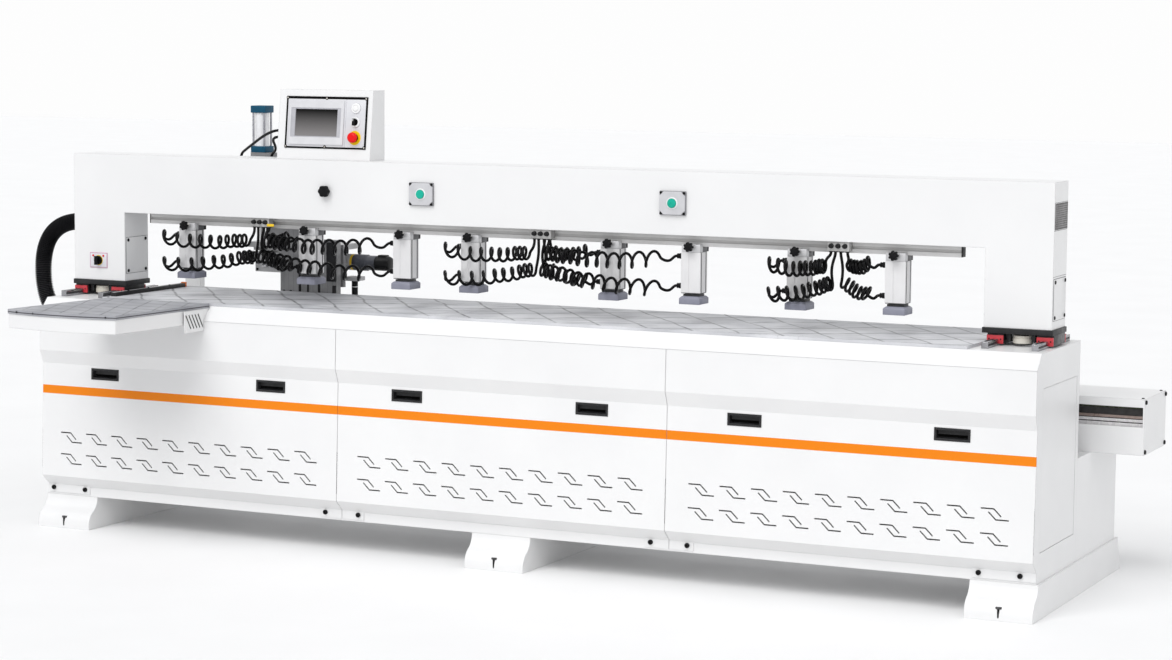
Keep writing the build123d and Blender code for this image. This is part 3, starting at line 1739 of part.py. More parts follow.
# Spindles: shank, chuck and bit on one axis
for name, x in zip(("left_spindle", "right_spindle"), spindle_x):
    with BuildPart() as spindle:
        chuck_rear = drill_front - chuck_gap
        chuck_front = chuck_rear - chuck_length
        shank_rear = drill_front + spindle_inside
        post((x, shank_rear, spindle_z), front_way, spindle_shank, shank_rear - chuck_rear)
        post((x, chuck_rear, spindle_z), front_way, chuck_radius, chuck_length)
        post((x, chuck_front, spindle_z), front_way, bit_radius, bit_length)
        chamfer(spindle.edges().group_by(Axis.Y)[0], length=bit_point)
    spindle.part.label = name
    export_step(spindle.part, "parts/%s.step" % name)

# Drill motor: bell housing, flange, body and end cap on one axis along X
with BuildPart() as drill_motor:
    bell_end = drill_right + bell_length
    flange_end = bell_end + flange_thick
    body_end = flange_end + motor_length
    post((drill_right, motor_y, motor_z), right_way, bell_radius, bell_length)
    slab(
        (bell_end, flange_end),
        (motor_y - flange_size / 2, motor_y + flange_size / 2),
        (motor_z - flange_size / 2, motor_z + flange_size / 2),
    )
    post((flange_end, motor_y, motor_z), right_way, motor_radius, motor_length)
    post((body_end, motor_y, motor_z), right_way, motor_cap_radius, motor_cap)
drill_motor.part.label = "drill_motor"
export_step(drill_motor.part, "parts/drill_motor.step")

# Head cable: upright cable between the lugs of the lift plate and the column
with BuildPart() as head_cable:
    cable_low = lug_low_z + lug_thick
    post((head_cable_x, head_cable_y, cable_low), up_way, head_cable_radius, lug_high_z - cable_low)
head_cable.part.label = "head_cable"
export_step(head_cable.part, "parts/head_cable.step")
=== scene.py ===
# A line boring machine: a long cabinet bed with a table and a wing, a portal with air clamps and controls that slides
# over the table, and a boring head on a beam behind it. Metres, +X along the bed, +Y to the rear, origin on the floor.
# Outlines of turned pieces and radii of screws are in millimetres.
import math
import bpy
from mathutils import Matrix, Vector


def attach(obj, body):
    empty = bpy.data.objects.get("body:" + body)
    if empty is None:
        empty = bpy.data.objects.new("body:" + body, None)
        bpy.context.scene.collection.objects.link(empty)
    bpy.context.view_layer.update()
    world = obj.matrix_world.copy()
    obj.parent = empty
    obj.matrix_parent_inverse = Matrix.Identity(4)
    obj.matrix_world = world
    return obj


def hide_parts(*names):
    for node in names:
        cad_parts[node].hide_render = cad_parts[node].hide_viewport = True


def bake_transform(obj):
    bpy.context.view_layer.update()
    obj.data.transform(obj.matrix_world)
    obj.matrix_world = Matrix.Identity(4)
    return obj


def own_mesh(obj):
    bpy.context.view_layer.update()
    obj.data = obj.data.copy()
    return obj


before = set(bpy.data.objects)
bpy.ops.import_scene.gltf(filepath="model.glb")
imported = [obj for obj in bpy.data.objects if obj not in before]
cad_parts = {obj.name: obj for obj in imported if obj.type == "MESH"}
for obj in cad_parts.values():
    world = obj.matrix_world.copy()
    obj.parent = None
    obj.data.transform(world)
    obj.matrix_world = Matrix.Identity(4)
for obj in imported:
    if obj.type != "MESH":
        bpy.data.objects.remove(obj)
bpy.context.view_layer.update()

# The camera stands to the right of the machine, a little above the portal, with a long lens. The photograph is
# 1172 x 660 pixels, and the lens is its focal length of 2790.6 pixels on a 36 mm wide sensor.
photo_width = 1172
photo_focal = 2790.6


def fresh(add, **settings):
    """Add something by one of Blender's own makers, as the only selected thing."""
    bpy.ops.object.select_all(action="DESELECT")
    add(**settings)
    return bpy.context.object


camera = fresh(bpy.ops.object.camera_add, location=(4.345, -8.923, 1.836))
camera.name = "photo_camera"
camera.data.sensor_fit = "HORIZONTAL"
camera.data.sensor_width = 36.0
camera.data.lens = camera.data.sensor_width * photo_focal / photo_width
camera.data.clip_end = 60.0
turned_left = Matrix.Rotation(math.radians(25.472), 3, "Z")
tipped_down = Matrix.Rotation(math.radians(90 - 6.051), 3, "X")
rolled = Matrix.Rotation(math.radians(0.4226), 3, "Z")
camera.rotation_euler = (turned_left @ tipped_down @ rolled).to_euler()
bpy.context.scene.camera = camera

# Feet and rear columns: three hollow steel weldments under the bed, which flare towards the floor and carry the beam
# housing at the back. They are powder coated white, with a fine orange peel and edges rounded by the coat.


def step(material, kind, inputs, **settings):
    """Add a shader node, whose inputs are values or the outputs of other nodes, and give its outputs."""
    tree = material.node_tree
    made = tree.nodes.new(f"ShaderNode{kind}")
    for name, value in settings.items():
        setattr(made, name, value)
    for socket, value in inputs.items():
        if isinstance(value, bpy.types.NodeSocket):
            tree.links.new(value, made.inputs[socket])
        else:
            made.inputs[socket].default_value = value
    return made.outputs


def reckoned(material, operation, *values, **settings):
    return step(material, "Math", dict(enumerate(values)), operation=operation, **settings)["Value"]


def own_place(material):
    return step(material, "TexCoord", {})["Object"]


def drift(material, scale, detail, low, high):
    """Noise on the piece's own coordinates, spread between two values."""
    noise = step(material, "TexNoise", {"Vector": own_place(material), "Scale": scale, "Detail": detail})["Fac"]
    ends = {"From Min": 0.3, "From Max": 0.7, "To Min": low, "To Max": high}
    return step(material, "MapRange", {"Value": noise, **ends})["Result"]


def turned_away(material, rounded, flat, low, high):
    """A mask of the edges, where a rounded normal departs from the flat one."""
    normal = step(material, "NewGeometry", {})[flat]
    likeness = step(material, "VectorMath", {0: rounded, 1: normal}, operation="DOT_PRODUCT")["Value"]
    return step(material, "MapRange", {"Value": likeness, "From Min": low, "From Max": high})["Result"]


def rgba(colour):
    """A colour, which is written as one grey, as a grey and its blue, or as red, green and blue."""
    shades = colour if isinstance(colour, tuple) else (colour, colour)
    return shades[0], shades[-2], shades[-1], 1


def paint_over(material, paint, mask):
    """Lay a paint over a finish where a mask says so."""
    base = material.node_tree.nodes["Principled BSDF"].inputs["Base Color"]
    colours = {"A": base.links[0].from_socket, "B": rgba(paint), "Factor": mask}
    material.node_tree.links.new(step(material, "Mix", colours, data_type="RGBA")["Result"], base)


def surface(name, dark, light, rough, grain=8.0, bump=0.03, bump_scale=700.0, metallic=0.0, edge=0.0, worn=None,
            shine=0.5):
    """A finish whose colour, gloss and fine bumps drift over the piece, with rounded and worn edges."""
    material = bpy.data.materials.new(name)
    material.use_nodes = True
    links = material.node_tree.links
    shader = material.node_tree.nodes["Principled BSDF"].inputs
    shader["Metallic"].default_value = metallic
    shader["Specular IOR Level"].default_value = shine
    colours = {"A": rgba(dark), "B": rgba(light), "Factor": drift(material, grain, 6.0, 0.0, 1.0)}
    links.new(step(material, "Mix", colours, data_type="RGBA")["Result"], shader["Base Color"])
    links.new(drift(material, grain * 2.3, 4.0, *rough), shader["Roughness"])
    bumps = {"Strength": bump, "Distance": 0.001, "Height": drift(material, bump_scale, 3.0, 0.0, 1.0)}
    if edge:
        bumps["Normal"] = step(material, "Bevel", {"Radius": edge}, samples=4)["Normal"]
    links.new(step(material, "Bump", bumps)["Normal"], shader["Normal"])
    if worn:
        near_edge = turned_away(material, bumps["Normal"], "Normal", 0.995, 0.85)
        paint_over(material, worn, reckoned(material, "MULTIPLY", near_edge, drift(material, grain * 5, 5.0, 0.2, 0.9)))
    return material


def dress(material, *nodes):
    """Give CAD nodes whose shape is right their finish."""
    for node in nodes:
        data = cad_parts[node].data
        data.materials.clear()
        data.materials.append(material)


white_paint = surface("white_paint", (0.755, 0.758), 0.79, (0.3, 0.42), 3, 0.05, 900, edge=0.003, worn=0.62)
dress(white_paint, "base_feet")

# Cabinet shell: folded sheet with a deck on top, seam posts behind the panels and a folded support under the table's
# rear edge. The end covers are plates let into its ends, held by small countersunk screws.
dress(white_paint, "bed_frame", "end_covers")

# Front panels: three bent sheets with two rows of paired slits, screwed to the cabinet. One orange stripe runs over
# all three, a foil that is flush with the paint. The slits' edges are painted black: painted shade inside the slits.
stripe_z = (0.497, 0.528)
stripe_orange = (0.79, 0.21, 0.0)
slit_rows = (0.215, 0.365)
slit_shade_black = (0.006, 0.006, 0.007)


def within(material, axis, low, high):
    """A mask of what lies between two places on an axis."""
    along = step(material, "SeparateXYZ", {"Vector": own_place(material)})[axis]
    return reckoned(material, "COMPARE", along, (low + high) / 2, (high - low) / 2)


panel_paint = surface("panel_paint", (0.755, 0.758), 0.79, (0.28, 0.4), 3, 0.05, 900, edge=0.002, worn=0.62, shine=0.25)
paint_over(panel_paint, stripe_orange, within(panel_paint, "Z", *stripe_z))
# Painted shade: the edges round the slits, in their two rows, are painted black.
slit_edge = step(panel_paint, "Bevel", {"Radius": 0.0016}, samples=6)["Normal"]
slit_shade_edges = turned_away(panel_paint, slit_edge, "True Normal", 0.985, 0.93)
paint_over(panel_paint, slit_shade_black, reckoned(panel_paint, "MULTIPLY", slit_shade_edges, within(panel_paint, "Z", *slit_rows)))
dress(panel_paint, "front_panels")

# Panel screws, levelling bolts and housing bolts: black oxide cap screws through the panels' bottom tabs, flat hexagon
# bolts with threaded shanks in the toes of the feet, and screws in the ends of the beam housing.
screw_places = (-1.875, -1.735, -0.7003, -0.5663, 0.5663, 0.7003, 1.711, 1.848)
screw_height = 0.14
tab_front = -0.473
foot_places = (-1.795, 0.0, 1.795)
toe_y = 0.518
stem_y = -0.5252
level_head_z = 0.038
housing_end = 2.08
housing_screw_y = (0.144, 0.407)
housing_screw_z = (0.471, 0.637)
right, front, up = Vector((1, 0, 0)), Vector((0, -1, 0)), Vector((0, 0, 1))
black_oxide = surface("black_oxide", (0.004, 0.0045), (0.012, 0.013), (0.35, 0.55), 60, 0.05, 900, metallic=0.2,
    shine=0.2)


def only(*pieces):
    """Make some pieces the selected ones, and the first the active one."""
    bpy.ops.object.select_all(action="DESELECT")
    for piece in pieces:
        piece.select_set(True)
    bpy.context.view_layer.objects.active = pieces[0]


def drawn(x, y, z):
    """Draw the selected faces out of a piece."""
    bpy.ops.mesh.extrude_region_move(TRANSFORM_OT_translate={"value": (x, y, z)})


def opened():
    """Fix a new piece's place and size, and go to edit mode with all of it selected."""
    bpy.ops.object.transform_apply(location=True, rotation=True, scale=True)
    bpy.ops.object.mode_set(mode="EDIT")
    bpy.ops.mesh.select_all(action="SELECT")


def closed():
    """Turn all faces outwards and leave edit mode."""
    bpy.ops.mesh.select_all(action="SELECT")
    bpy.ops.mesh.normals_make_consistent(inside=False)
    bpy.ops.object.mode_set(mode="OBJECT")


def painted(piece, material):
    """Give a piece its finish and soft shading."""
    piece.data.materials.clear()
    piece.data.materials.append(material)
    only(piece)
    bpy.ops.object.shade_smooth_by_angle(angle=math.radians(35))
    return piece


def turned(material, foot, along, steps, sides=32):
    """A turned piece: a disc at its foot, drawn out along an axis by steps of (reach, radius) in millimetres."""
    piece = fresh(bpy.ops.mesh.primitive_circle_add, vertices=sides, radius=steps[0][1] / 1000, fill_type="NGON",
        location=foot, rotation=along.to_track_quat("Z", "Y").to_euler())
    opened()
    for (before, was), (reach, radius) in zip(steps, steps[1:]):
        drawn(*along * (reach - before) / 1000)
        bpy.ops.transform.resize(value=(radius / was,) * 3)
    closed()
    return painted(piece, material)


def joined(*pieces):
    """Several pieces as one, which keeps each one's finish."""
    only(*pieces)
    if len(pieces) > 1:
        bpy.ops.object.join()
    return pieces[0]


def copied(piece, x):
    """A copy of a piece with its own mesh, moved along the bed."""
    twin = piece.copy()
    twin.data = piece.data.copy()
    twin.data.transform(Matrix.Translation((x, 0, 0)))
    bpy.context.collection.objects.link(twin)
    return twin


def in_row(piece, places):
    """A piece, which is at the first of some places, and copies of it at the others."""
    return [piece] + [copied(piece, x - places[0]) for x in places[1:]]


def settled(pieces, name, slot, body, *nodes):
    """Name a finished piece, or a list of them as one, and say what it rides on and its nodes. Its finish, the slot, is
    not used.
    """
    piece = joined(*pieces) if isinstance(pieces, list) else pieces
    piece.name = name
    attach(piece, body)
    if nodes:
        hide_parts(*nodes)


def cap_screw(place, along, radius, height, material=black_oxide):
    """A cap screw's head with a rounded edge and a socket, on a surface. Its radius is in millimetres, as in turned."""
    tall = radius * height
    return turned(material, place, along,
        ((0, radius), (tall * 0.75, radius), (tall, radius * 0.85), (tall, radius * 0.5), (tall * 0.4, radius * 0.45)),
        24)


first_screw = cap_screw((screw_places[0], tab_front, screw_height), front, 8.5, 0.9)
panel_screws = in_row(first_screw, screw_places)
panel_screws += [cap_screw((way * housing_end, y, z), right * way, 7.5, 0.65) for way in (-1, 1)
    for y in housing_screw_y for z in housing_screw_z]
settled(panel_screws, "panel_screws", "black_steel", "bed", "frame_bolts")

bolt_steel = surface("bolt_steel", (0.05, 0.052), (0.11, 0.112), (0.3, 0.5), 50, 0.05, 600, metallic=0.8)
thread_pitch = 2.5
thread_steps = [(0, 4.2)]
for turn in range(8):
    thread_steps += [(thread_pitch * (turn + 0.5), 5), (thread_pitch * (turn + 1), 4.2)]
level_bolts = []
for y in (-toe_y, toe_y):
    place = (foot_places[0], y, level_head_z)
    hex_head = turned(bolt_steel, place, up, ((0, 10.5), (1, 11.8), (6, 11.8), (7, 10.5)), 6)
    level_bolts += in_row(joined(hex_head, turned(bolt_steel, place, -up, thread_steps, 20)), foot_places)
stem = turned(black_oxide, (foot_places[0], stem_y, level_head_z), -up, ((0, 4), (26, 4), (29, 3)), 16)
settled(level_bolts + in_row(stem, foot_places), "level_bolts", "black_steel", "bed", "frame_bolts")

# Panel pulls: moulded black tubs in the front panels, each with a raised rim and a finger pocket that is deeper towards
# the top. They are clipped in from the front and lean with the panel.
pull_width = 0.121
pull_height = 0.042
pull_centre_z = 0.5795
pull_face = -0.499
pull_lean = math.atan2(0.014, 0.42)
pull_depth = 0.0185
panel_pitch = 3.8 / 3
pull_x = [column * panel_pitch + side * 0.356 for column in (-1, 0, 1) for side in (-1, 1)]
pull_middle = (pull_x[0], pull_face, pull_centre_z)
pull_black = surface("pull_black", (0.008, 0.009), (0.02, 0.022), (0.3, 0.48), 40, 0.1, 1400, shine=0.3)
pocket_shade_black = surface("pocket_shade_black", 0.001, 0.003, (0.6, 0.8), 40, 0.1, 1400, shine=0.02)


def softened(piece, width, segments):
    """Round a piece's edges."""
    edges = piece.modifiers.new("soft", "BEVEL")
    edges.width = width
    edges.segments = segments
    bpy.ops.object.modifier_apply(modifier="soft")
    return piece


def flat_sheet(place, width, height, tilt=math.pi / 2):
    """A flat sheet, upright unless it has another tilt, in edit mode with its face selected."""
    sheet = fresh(bpy.ops.mesh.primitive_plane_add, size=1, rotation=(tilt, 0, 0), location=place)
    sheet.scale = (width, height, 1)
    opened()
    return sheet


def inset(thickness, depth=0.0):
    """Set the selected face in from its edges, and out or down."""
    bpy.ops.mesh.inset(thickness=thickness, depth=depth)


def pick(piece, test):
    """Go to edit mode with only the faces selected that pass a test."""
    only(piece)
    bpy.ops.object.mode_set(mode="EDIT")
    bpy.ops.mesh.select_mode(type="FACE")
    bpy.ops.mesh.select_all(action="DESELECT")
    bpy.ops.object.mode_set(mode="OBJECT")
    for face in piece.data.polygons:
        face.select = test(face)
    bpy.ops.object.mode_set(mode="EDIT")


def faces_painted(piece, material, test):
    """Give the faces of a piece that pass a test another finish."""
    piece.data.materials.append(material)
    for face in piece.data.polygons:
        if test(face, face.center):
            face.material_index = len(piece.data.materials) - 1


def spread(template, places, name, slot, body, *nodes, labels=range(1, 9)):
    """Settle copies of a piece at several places under their numbers or other labels. The piece itself goes."""
    for label, x in zip(labels, places):
        settled(copied(template, x - places[0]), name.format(label), slot, body.format(label),
                *(node.format(label) for node in nodes))
    bpy.data.objects.remove(template)


pull = flat_sheet(pull_middle, pull_width, pull_height)
drawn(0, -0.0018, 0)
inset(0.0012, 0.0006)
inset(0.006)
inset(0.001, -0.0012)
drawn(0, 0.6 * pull_depth, 0)
inset(0.0014, -0.3 * pull_depth)
bpy.ops.transform.translate(value=(0, 0, 0.001))
bpy.ops.mesh.bisect(plane_co=(pull_x[0], pull_face, pull_centre_z - 0.001), plane_no=up)
bpy.ops.object.mode_set(mode="OBJECT")
back_area = max(face.area for face in pull.data.polygons)
pick(pull, lambda face: face.area == back_area)
inset(0.0045)
drawn(0, pull_depth + 0.001, 0)
bpy.ops.mesh.select_mode(type="VERT")
bpy.ops.mesh.select_all(action="SELECT")
bpy.ops.transform.rotate(value=pull_lean, orient_axis="X", center_override=pull_middle)
closed()
painted(softened(pull, 0.0007, 2), pull_black)
# Painted shade: the lower half of the pocket's floor is painted a deeper black.
faces_painted(pull, pocket_shade_black, lambda face, c: face.normal.y < -0.9 and c.y > pull_face + 0.003
    and c.z < pull_centre_z)
spread(pull, pull_x, "panel_pull_{}", "black_plastic", "bed", "panel_pulls")

# Table and wing: grey compact board with a printed pattern of slanted lines, which is worn paler where work slides over
# it. Two narrow strips part the table. The wing's edge shows the board's dark core and the heads of small screws.
line_dark = (0.055, 0.057, 0.066)
core_dark = (0.06, 0.06, 0.068)
core_z = (0.85, 0.854)


def slanted_lines(material, across, pitch, width, wobble, paint, strength, on_top=True):
    """Thin dark lines at a slant over a board, broken by noise, as printed or scribed lines are."""
    way = (across[0] / pitch, across[1] / pitch, 0)
    along = step(material, "VectorMath", {0: own_place(material), 1: way}, operation="DOT_PRODUCT")["Value"]
    shifted = reckoned(material, "ADD", along, drift(material, 3.0, 2.0, -wobble, wobble))
    swing = reckoned(material, "PINGPONG", shifted, 0.5)
    ends = {"From Min": width / pitch, "From Max": 0.3 * width / pitch}
    line = step(material, "MapRange", {"Value": swing, **ends})["Result"]
    mask = reckoned(material, "MULTIPLY", line, drift(material, 14.0, 4.0, 0.25 * strength, strength))
    if on_top:
        normal = step(material, "NewGeometry", {})["Normal"]
        upward = step(material, "SeparateXYZ", {"Vector": normal})["Z"]
        mask = reckoned(material, "MULTIPLY", mask, upward, use_clamp=True)
    paint_over(material, paint, mask)


board_grey = surface("board_grey", (0.44, 0.445, 0.47), (0.68, 0.685, 0.71), (0.38, 0.58), 5, 0.06, 500, edge=0.0012,
    worn=(0.16, 0.165, 0.18))
slanted_lines(board_grey, (0.78, 0.62), 0.13, 0.0064, 0.08, line_dark, 1.0)
slanted_lines(board_grey, (0.5, -0.87), 0.17, 0.0115, 0.1, line_dark, 0.95)
slanted_lines(board_grey, (-0.2, 0.98), 0.19, 0.008, 0.16, line_dark, 0.6)
dress(board_grey, "table_top")
wing_grey = surface("wing_grey", (0.265, 0.27, 0.295), (0.39, 0.395, 0.42), (0.38, 0.58), 5, 0.06, 500, edge=0.0012,
    worn=(0.16, 0.165, 0.18))
slanted_lines(wing_grey, (0.92, 0.39), 0.075, 0.0046, 0.04, line_dark, 0.9)
slanted_lines(wing_grey, (0.12, 0.99), 0.082, 0.007, 0.1, line_dark, 0.85)
paint_over(wing_grey, core_dark, within(wing_grey, "Z", *core_z))
dress(wing_grey, "wing_table")
dress(white_paint, "wing_frame")

# Wing details: a thin dark sheet behind the slots of the side plate is painted shade, for the shade inside the slots.
# Small black screws with socket heads hold the board to its apron.
vent_shade_dark = surface("vent_shade_dark", 0.003, (0.01, 0.011), (0.6, 0.8), 90, 0.2, 900, shine=0.05)


def block(material, x, y, z, soft=0.001, steps=2):
    """A box between two places on each axis, with softened edges unless soft is nought."""
    sides = [sorted(ends) for ends in (x, y, z)]
    middle = [(a + b) / 2 for a, b in sides]
    piece = fresh(bpy.ops.mesh.primitive_cube_add, size=1, location=middle, scale=[b - a for a, b in sides])
    bpy.ops.object.transform_apply(location=True, rotation=True, scale=True)
    if soft:
        softened(piece, soft, steps)
    return painted(piece, material) if material else piece


shade_sheet = block(vent_shade_dark, (-1.1828, -1.1812), (-0.63, -0.522), (0.772, 0.841), 0.0003, 1)
settled(shade_sheet, "vent_shade_sheet", "white_paint", "bed")
edge_screws = [cap_screw((x, y, 0.853), front, 3.6, 0.4)
    for x, y in ((-1.64, -0.9995), (-1.56, -1.0125), (-1.33, -1.0145), (-1.26, -1.0055))]
settled(edge_screws, "wing_screws", "black_steel", "bed")

# Side fence: a black bar on the left edge of the table, which lines the work up. A pale scale strip is let into its
# top, three bolts hold it, and its rear end has an orange tip.
fence_x = (-1.65, -1.628)
fence_y = (-0.418, 0.052)
fence_z = (0.861, 0.876)


def inner(ends, low, high=None):
    """What is left between two places when each end is cut back."""
    return ends[0] + low, ends[1] - (low if high is None else high)


fence_black = surface("fence_black", (0.006, 0.007), (0.018, 0.02), (0.35, 0.55), 30, 0.06, 700, edge=0.001, worn=0.09,
    shine=0.25)
scale_pale = surface("scale_pale", (0.42, 0.43), (0.52, 0.53), (0.28, 0.42), 40, 0.04, 900, metallic=0.3)
tip_orange = surface("tip_orange", (0.8, 0.15, 0.004), (0.9, 0.22, 0.008), (0.35, 0.5), 40, 0.05, 900)
fence_pieces = [
    block(fence_black, fence_x, (fence_y[0], fence_y[1] - 0.012), (fence_z[0], fence_z[1] - 0.0008), 0.0012),
    block(scale_pale, (fence_x[0] + 0.003, fence_x[0] + 0.012), inner(fence_y, 0.004, 0.03),
        (fence_z[1] - 0.0014, fence_z[1]), 0.0003),
    block(tip_orange, inner(fence_x, 0.001), (fence_y[1] - 0.0125, fence_y[1]), (fence_z[0], fence_z[1] + 0.003),
        0.0022, 3),
]
fence_pieces += [cap_screw((fence_x[1] - 0.005, y, fence_z[1] - 0.001), up, 3.6, 0.8) for y in (-0.33, -0.2, -0.06)]
settled(fence_pieces, "fence", "black_steel", "bed", "side_fence")

# Portal rails: four hardened guide rails on the ends of the bed. Each has a running groove in both sides and a dark
# channel along its top, in which its screws are sunk.
rail_x = (-1.862, -1.697, 1.697, 1.862)
rail_half = 0.0115
rail_y = (-0.417, -0.057)
rail_z = (0.851, 0.873)
running_z = 0.8625
channel_deep = 0.0026
rail_steel = surface("rail_steel", (0.24, 0.25), (0.4, 0.42), (0.14, 0.3), 22, 0.03, 500, metallic=0.85, edge=0.0008,
    worn=(0.72, 0.73))
rail_shade = surface("rail_shade", (0.03, 0.033), (0.07, 0.075), (0.35, 0.5), 22, 0.03, 500, metallic=0.3)


def about(middle, half):
    return middle - half, middle + half


def cut_groove(piece, face_way, across_way, middle, width, depth):
    """Cut a straight groove into one side of a box, from end to end."""
    only(piece)
    for edge in about(middle, width / 2):
        opened()
        bpy.ops.mesh.bisect(plane_co=across_way * edge, plane_no=across_way)
        bpy.ops.object.mode_set(mode="OBJECT")
    pick(piece, lambda face: face.normal.dot(face_way) > 0.9 and abs(face.center.dot(across_way) - middle) < width / 2)
    drawn(*face_way * -depth)
    bpy.ops.mesh.select_mode(type="VERT")
    bpy.ops.object.mode_set(mode="OBJECT")


guide = block(None, about(rail_x[0], rail_half), rail_y, rail_z, 0.001)
for way in (-1, 1):
    cut_groove(guide, right * way, up, running_z, 0.0068, 0.0032)
cut_groove(guide, up, right, rail_x[0], 0.008, channel_deep)
painted(guide, rail_steel)
faces_painted(guide, rail_shade, lambda face, c: rail_y[0] + 0.002 < c.y < rail_y[1] - 0.002
    and ((abs(c.z - running_z) < 0.0034 and abs(c.x - rail_x[0]) < rail_half - 0.0005)
    or (abs(c.x - rail_x[0]) < 0.0041 and 0.869 < c.z < rail_z[1] - 0.0004)))
sunk_screws = [cap_screw((rail_x[0], rail_y[0] + 0.03 + 0.06 * k, rail_z[1] - channel_deep), up, 3.6, 0.4, bolt_steel)
    for k in range(6)]
spread(joined(guide, *sunk_screws), rail_x, "portal_rail_{}", "rail_steel", "bed", "gantry_rails")

# Beam housing: a long white box of folded sheet behind the table, with a stop post on it. Its slot is edged by a brush,
# and its rails and the drawn profiles of the inner beam show through the slot's ends.
dress(white_paint, "x_axis_housing")
dress(rail_steel, "x_axis_rails")
brush_dark = surface("brush_dark", (0.01, 0.012, 0.008), (0.06, 0.064, 0.046), (0.7, 0.9), 160, 0.6, 1400, shine=0.1)
profile_brown = surface("profile_brown", (0.3, 0.225, 0.2), (0.46, 0.36, 0.32), (0.25, 0.45), 30, 0.05, 500,
    metallic=0.3)
profile_silver = surface("profile_silver", (0.84, 0.82, 0.83), (0.93, 0.91, 0.92), (0.18, 0.34), 30, 0.05, 500,
    metallic=0.1)
profile_dark = surface("profile_dark", (0.02, 0.018, 0.018), (0.05, 0.046, 0.046), (0.4, 0.6), 30, 0.05, 500)
for number, along in enumerate(((-2.07, -1.702), (-1.683, 1.683), (1.702, 2.07)), start=1):
    brush = block(brush_dark, along, (0.134, 0.1375), (0.614, 0.6225), 0.0006)
    settled(brush, f"slot_brush_{number}", "black_plastic", "bed")
profile_bands = (
    (0.54, 0.561, 0.168, profile_silver), (0.5612, 0.564, 0.17, profile_dark),
    (0.5642, 0.574, 0.169, profile_silver), (0.5742, 0.5766, 0.1705, profile_dark),
    (0.5768, 0.586, 0.1695, profile_brown), (0.5862, 0.62, 0.172, profile_dark),
)
for number, way in enumerate((-1, 1), start=1):
    profiles = [block(finish, (way * 1.7, way * 2.072), (near, 0.18), (low, high), 0.0008)
        for low, high, near, finish in profile_bands]
    settled(profiles, f"inner_profile_{number}", "rail_steel", "bed")
top_screws = [cap_screw((x, y, 0.648), up, 5, 0.5) for x in (-2.068, 2.068) for y in (0.155, 0.396)]
settled(top_screws, "housing_screws", "black_steel", "bed")

# Portal slide: guide blocks of dark steel on the rails, with red wipers screwed to their ends, and a black base plate
# over each pair. A cream brake pad in a dark holder hangs between them.
dress(white_paint, "gantry_frame")
block_half = 0.0275
block_y = (-0.302, -0.172)
block_z = (0.857, 0.891)
wiper_deep = 0.008
wiper_top = 0.885
throat = (0.024, 0.0165)
plate_x = (1.655, 1.89)
plate_y = (-0.317, -0.157)
plate_z = (0.891, 0.909)
pad_x = 1.7795
pad_y = -0.272
pad_foot = 0.856
block_dark = surface("block_dark", (0.014, 0.015), (0.038, 0.041), (0.28, 0.45), 24, 0.05, 600, metallic=0.6,
    edge=0.0008, worn=(0.3, 0.31))
seal_red = surface("seal_red", (0.46, 0.022, 0.035), (0.6, 0.04, 0.055), (0.34, 0.5), 30, 0.06, 900, edge=0.0008,
    worn=(0.7, 0.14, 0.15))
base_black = surface("base_black", (0.01, 0.011), (0.026, 0.028), (0.34, 0.52), 14, 0.06, 700, edge=0.001,
    worn=(0.16, 0.165), shine=0.25)
pad_cream = surface("pad_cream", (0.62, 0.58, 0.5), (0.74, 0.71, 0.64), (0.38, 0.55), 20, 0.06, 600)


def turn_about(place, angle, axis):
    """A turn round an axis that goes through a place."""
    to_place = Matrix.Translation(place)
    return to_place @ Matrix.Rotation(angle, 4, axis) @ to_place.inverted()


carriage = block(None, about(rail_x[0], block_half), block_y, block_z, 0.0012)
cut_groove(carriage, -up, right, rail_x[0], *throat)
spread(painted(carriage, block_dark), rail_x, "rail_block_{}", "grey_steel", "gantry", "rail_blocks")
wiper = block(None, about(rail_x[0], block_half), (block_y[0] - wiper_deep, block_y[0] - 0.0001),
    (block_z[0], wiper_top), 0.0016)
cut_groove(wiper, -up, right, rail_x[0], *throat)
cut_groove(wiper, up, right, rail_x[0], 0.015, 0.0052)
wiper = joined(
    painted(wiper, seal_red),
    *(cap_screw((x, block_y[0] - wiper_deep + 0.0002, 0.872), front, 2.6, 0.3) for x in about(rail_x[0], 0.0195)),
)
rear_wiper = copied(wiper, 0)
rear_wiper.data.transform(turn_about((rail_x[0], sum(block_y) / 2, 0), math.pi, "Z"))
spread(joined(wiper, rear_wiper), rail_x, "wipers_{}", "seal_red", "gantry", "block_seals")
for name, way in (("left", -1), ("right", 1)):
    centre = way * pad_x
    slab = block(base_black, (way * plate_x[0], way * plate_x[1]), plate_y, plate_z, 0.0015)
    boss = block(base_black, about(centre, 0.02), about(pad_y, 0.02), (plate_z[0] - 0.005, plate_z[0] + 0.001))
    settled([slab, boss], f"base_plate_{name}", "black_steel", "gantry", "gantry_base_plates")
    disc = turned(pad_cream, (centre, pad_y, pad_foot + 0.004), up,
        ((0, 32.5), (1, 33), (16, 33), (17.5, 31.5), (18.2, 31.8), (24.5, 31.8), (25.8, 30)), 48)
    foot_ring = turned(base_black, (centre, pad_y, pad_foot), up, ((0, 30), (1, 32.5), (4.2, 32.5), (5, 30)), 48)
    settled([disc, foot_ring], f"brake_pad_{name}", "pad_cream", "gantry", "brake_pads")
    for number, side in enumerate((-1, 1), start=1):
        holder = block(block_dark, (centre + side * 0.0345, centre + side * 0.0475), about(pad_y, 0.024),
            (pad_foot + 0.008, plate_z[0] - 0.0002), 0.0012)
        settled(holder, f"pad_holder_{name}_{number}", "black_steel", "gantry")

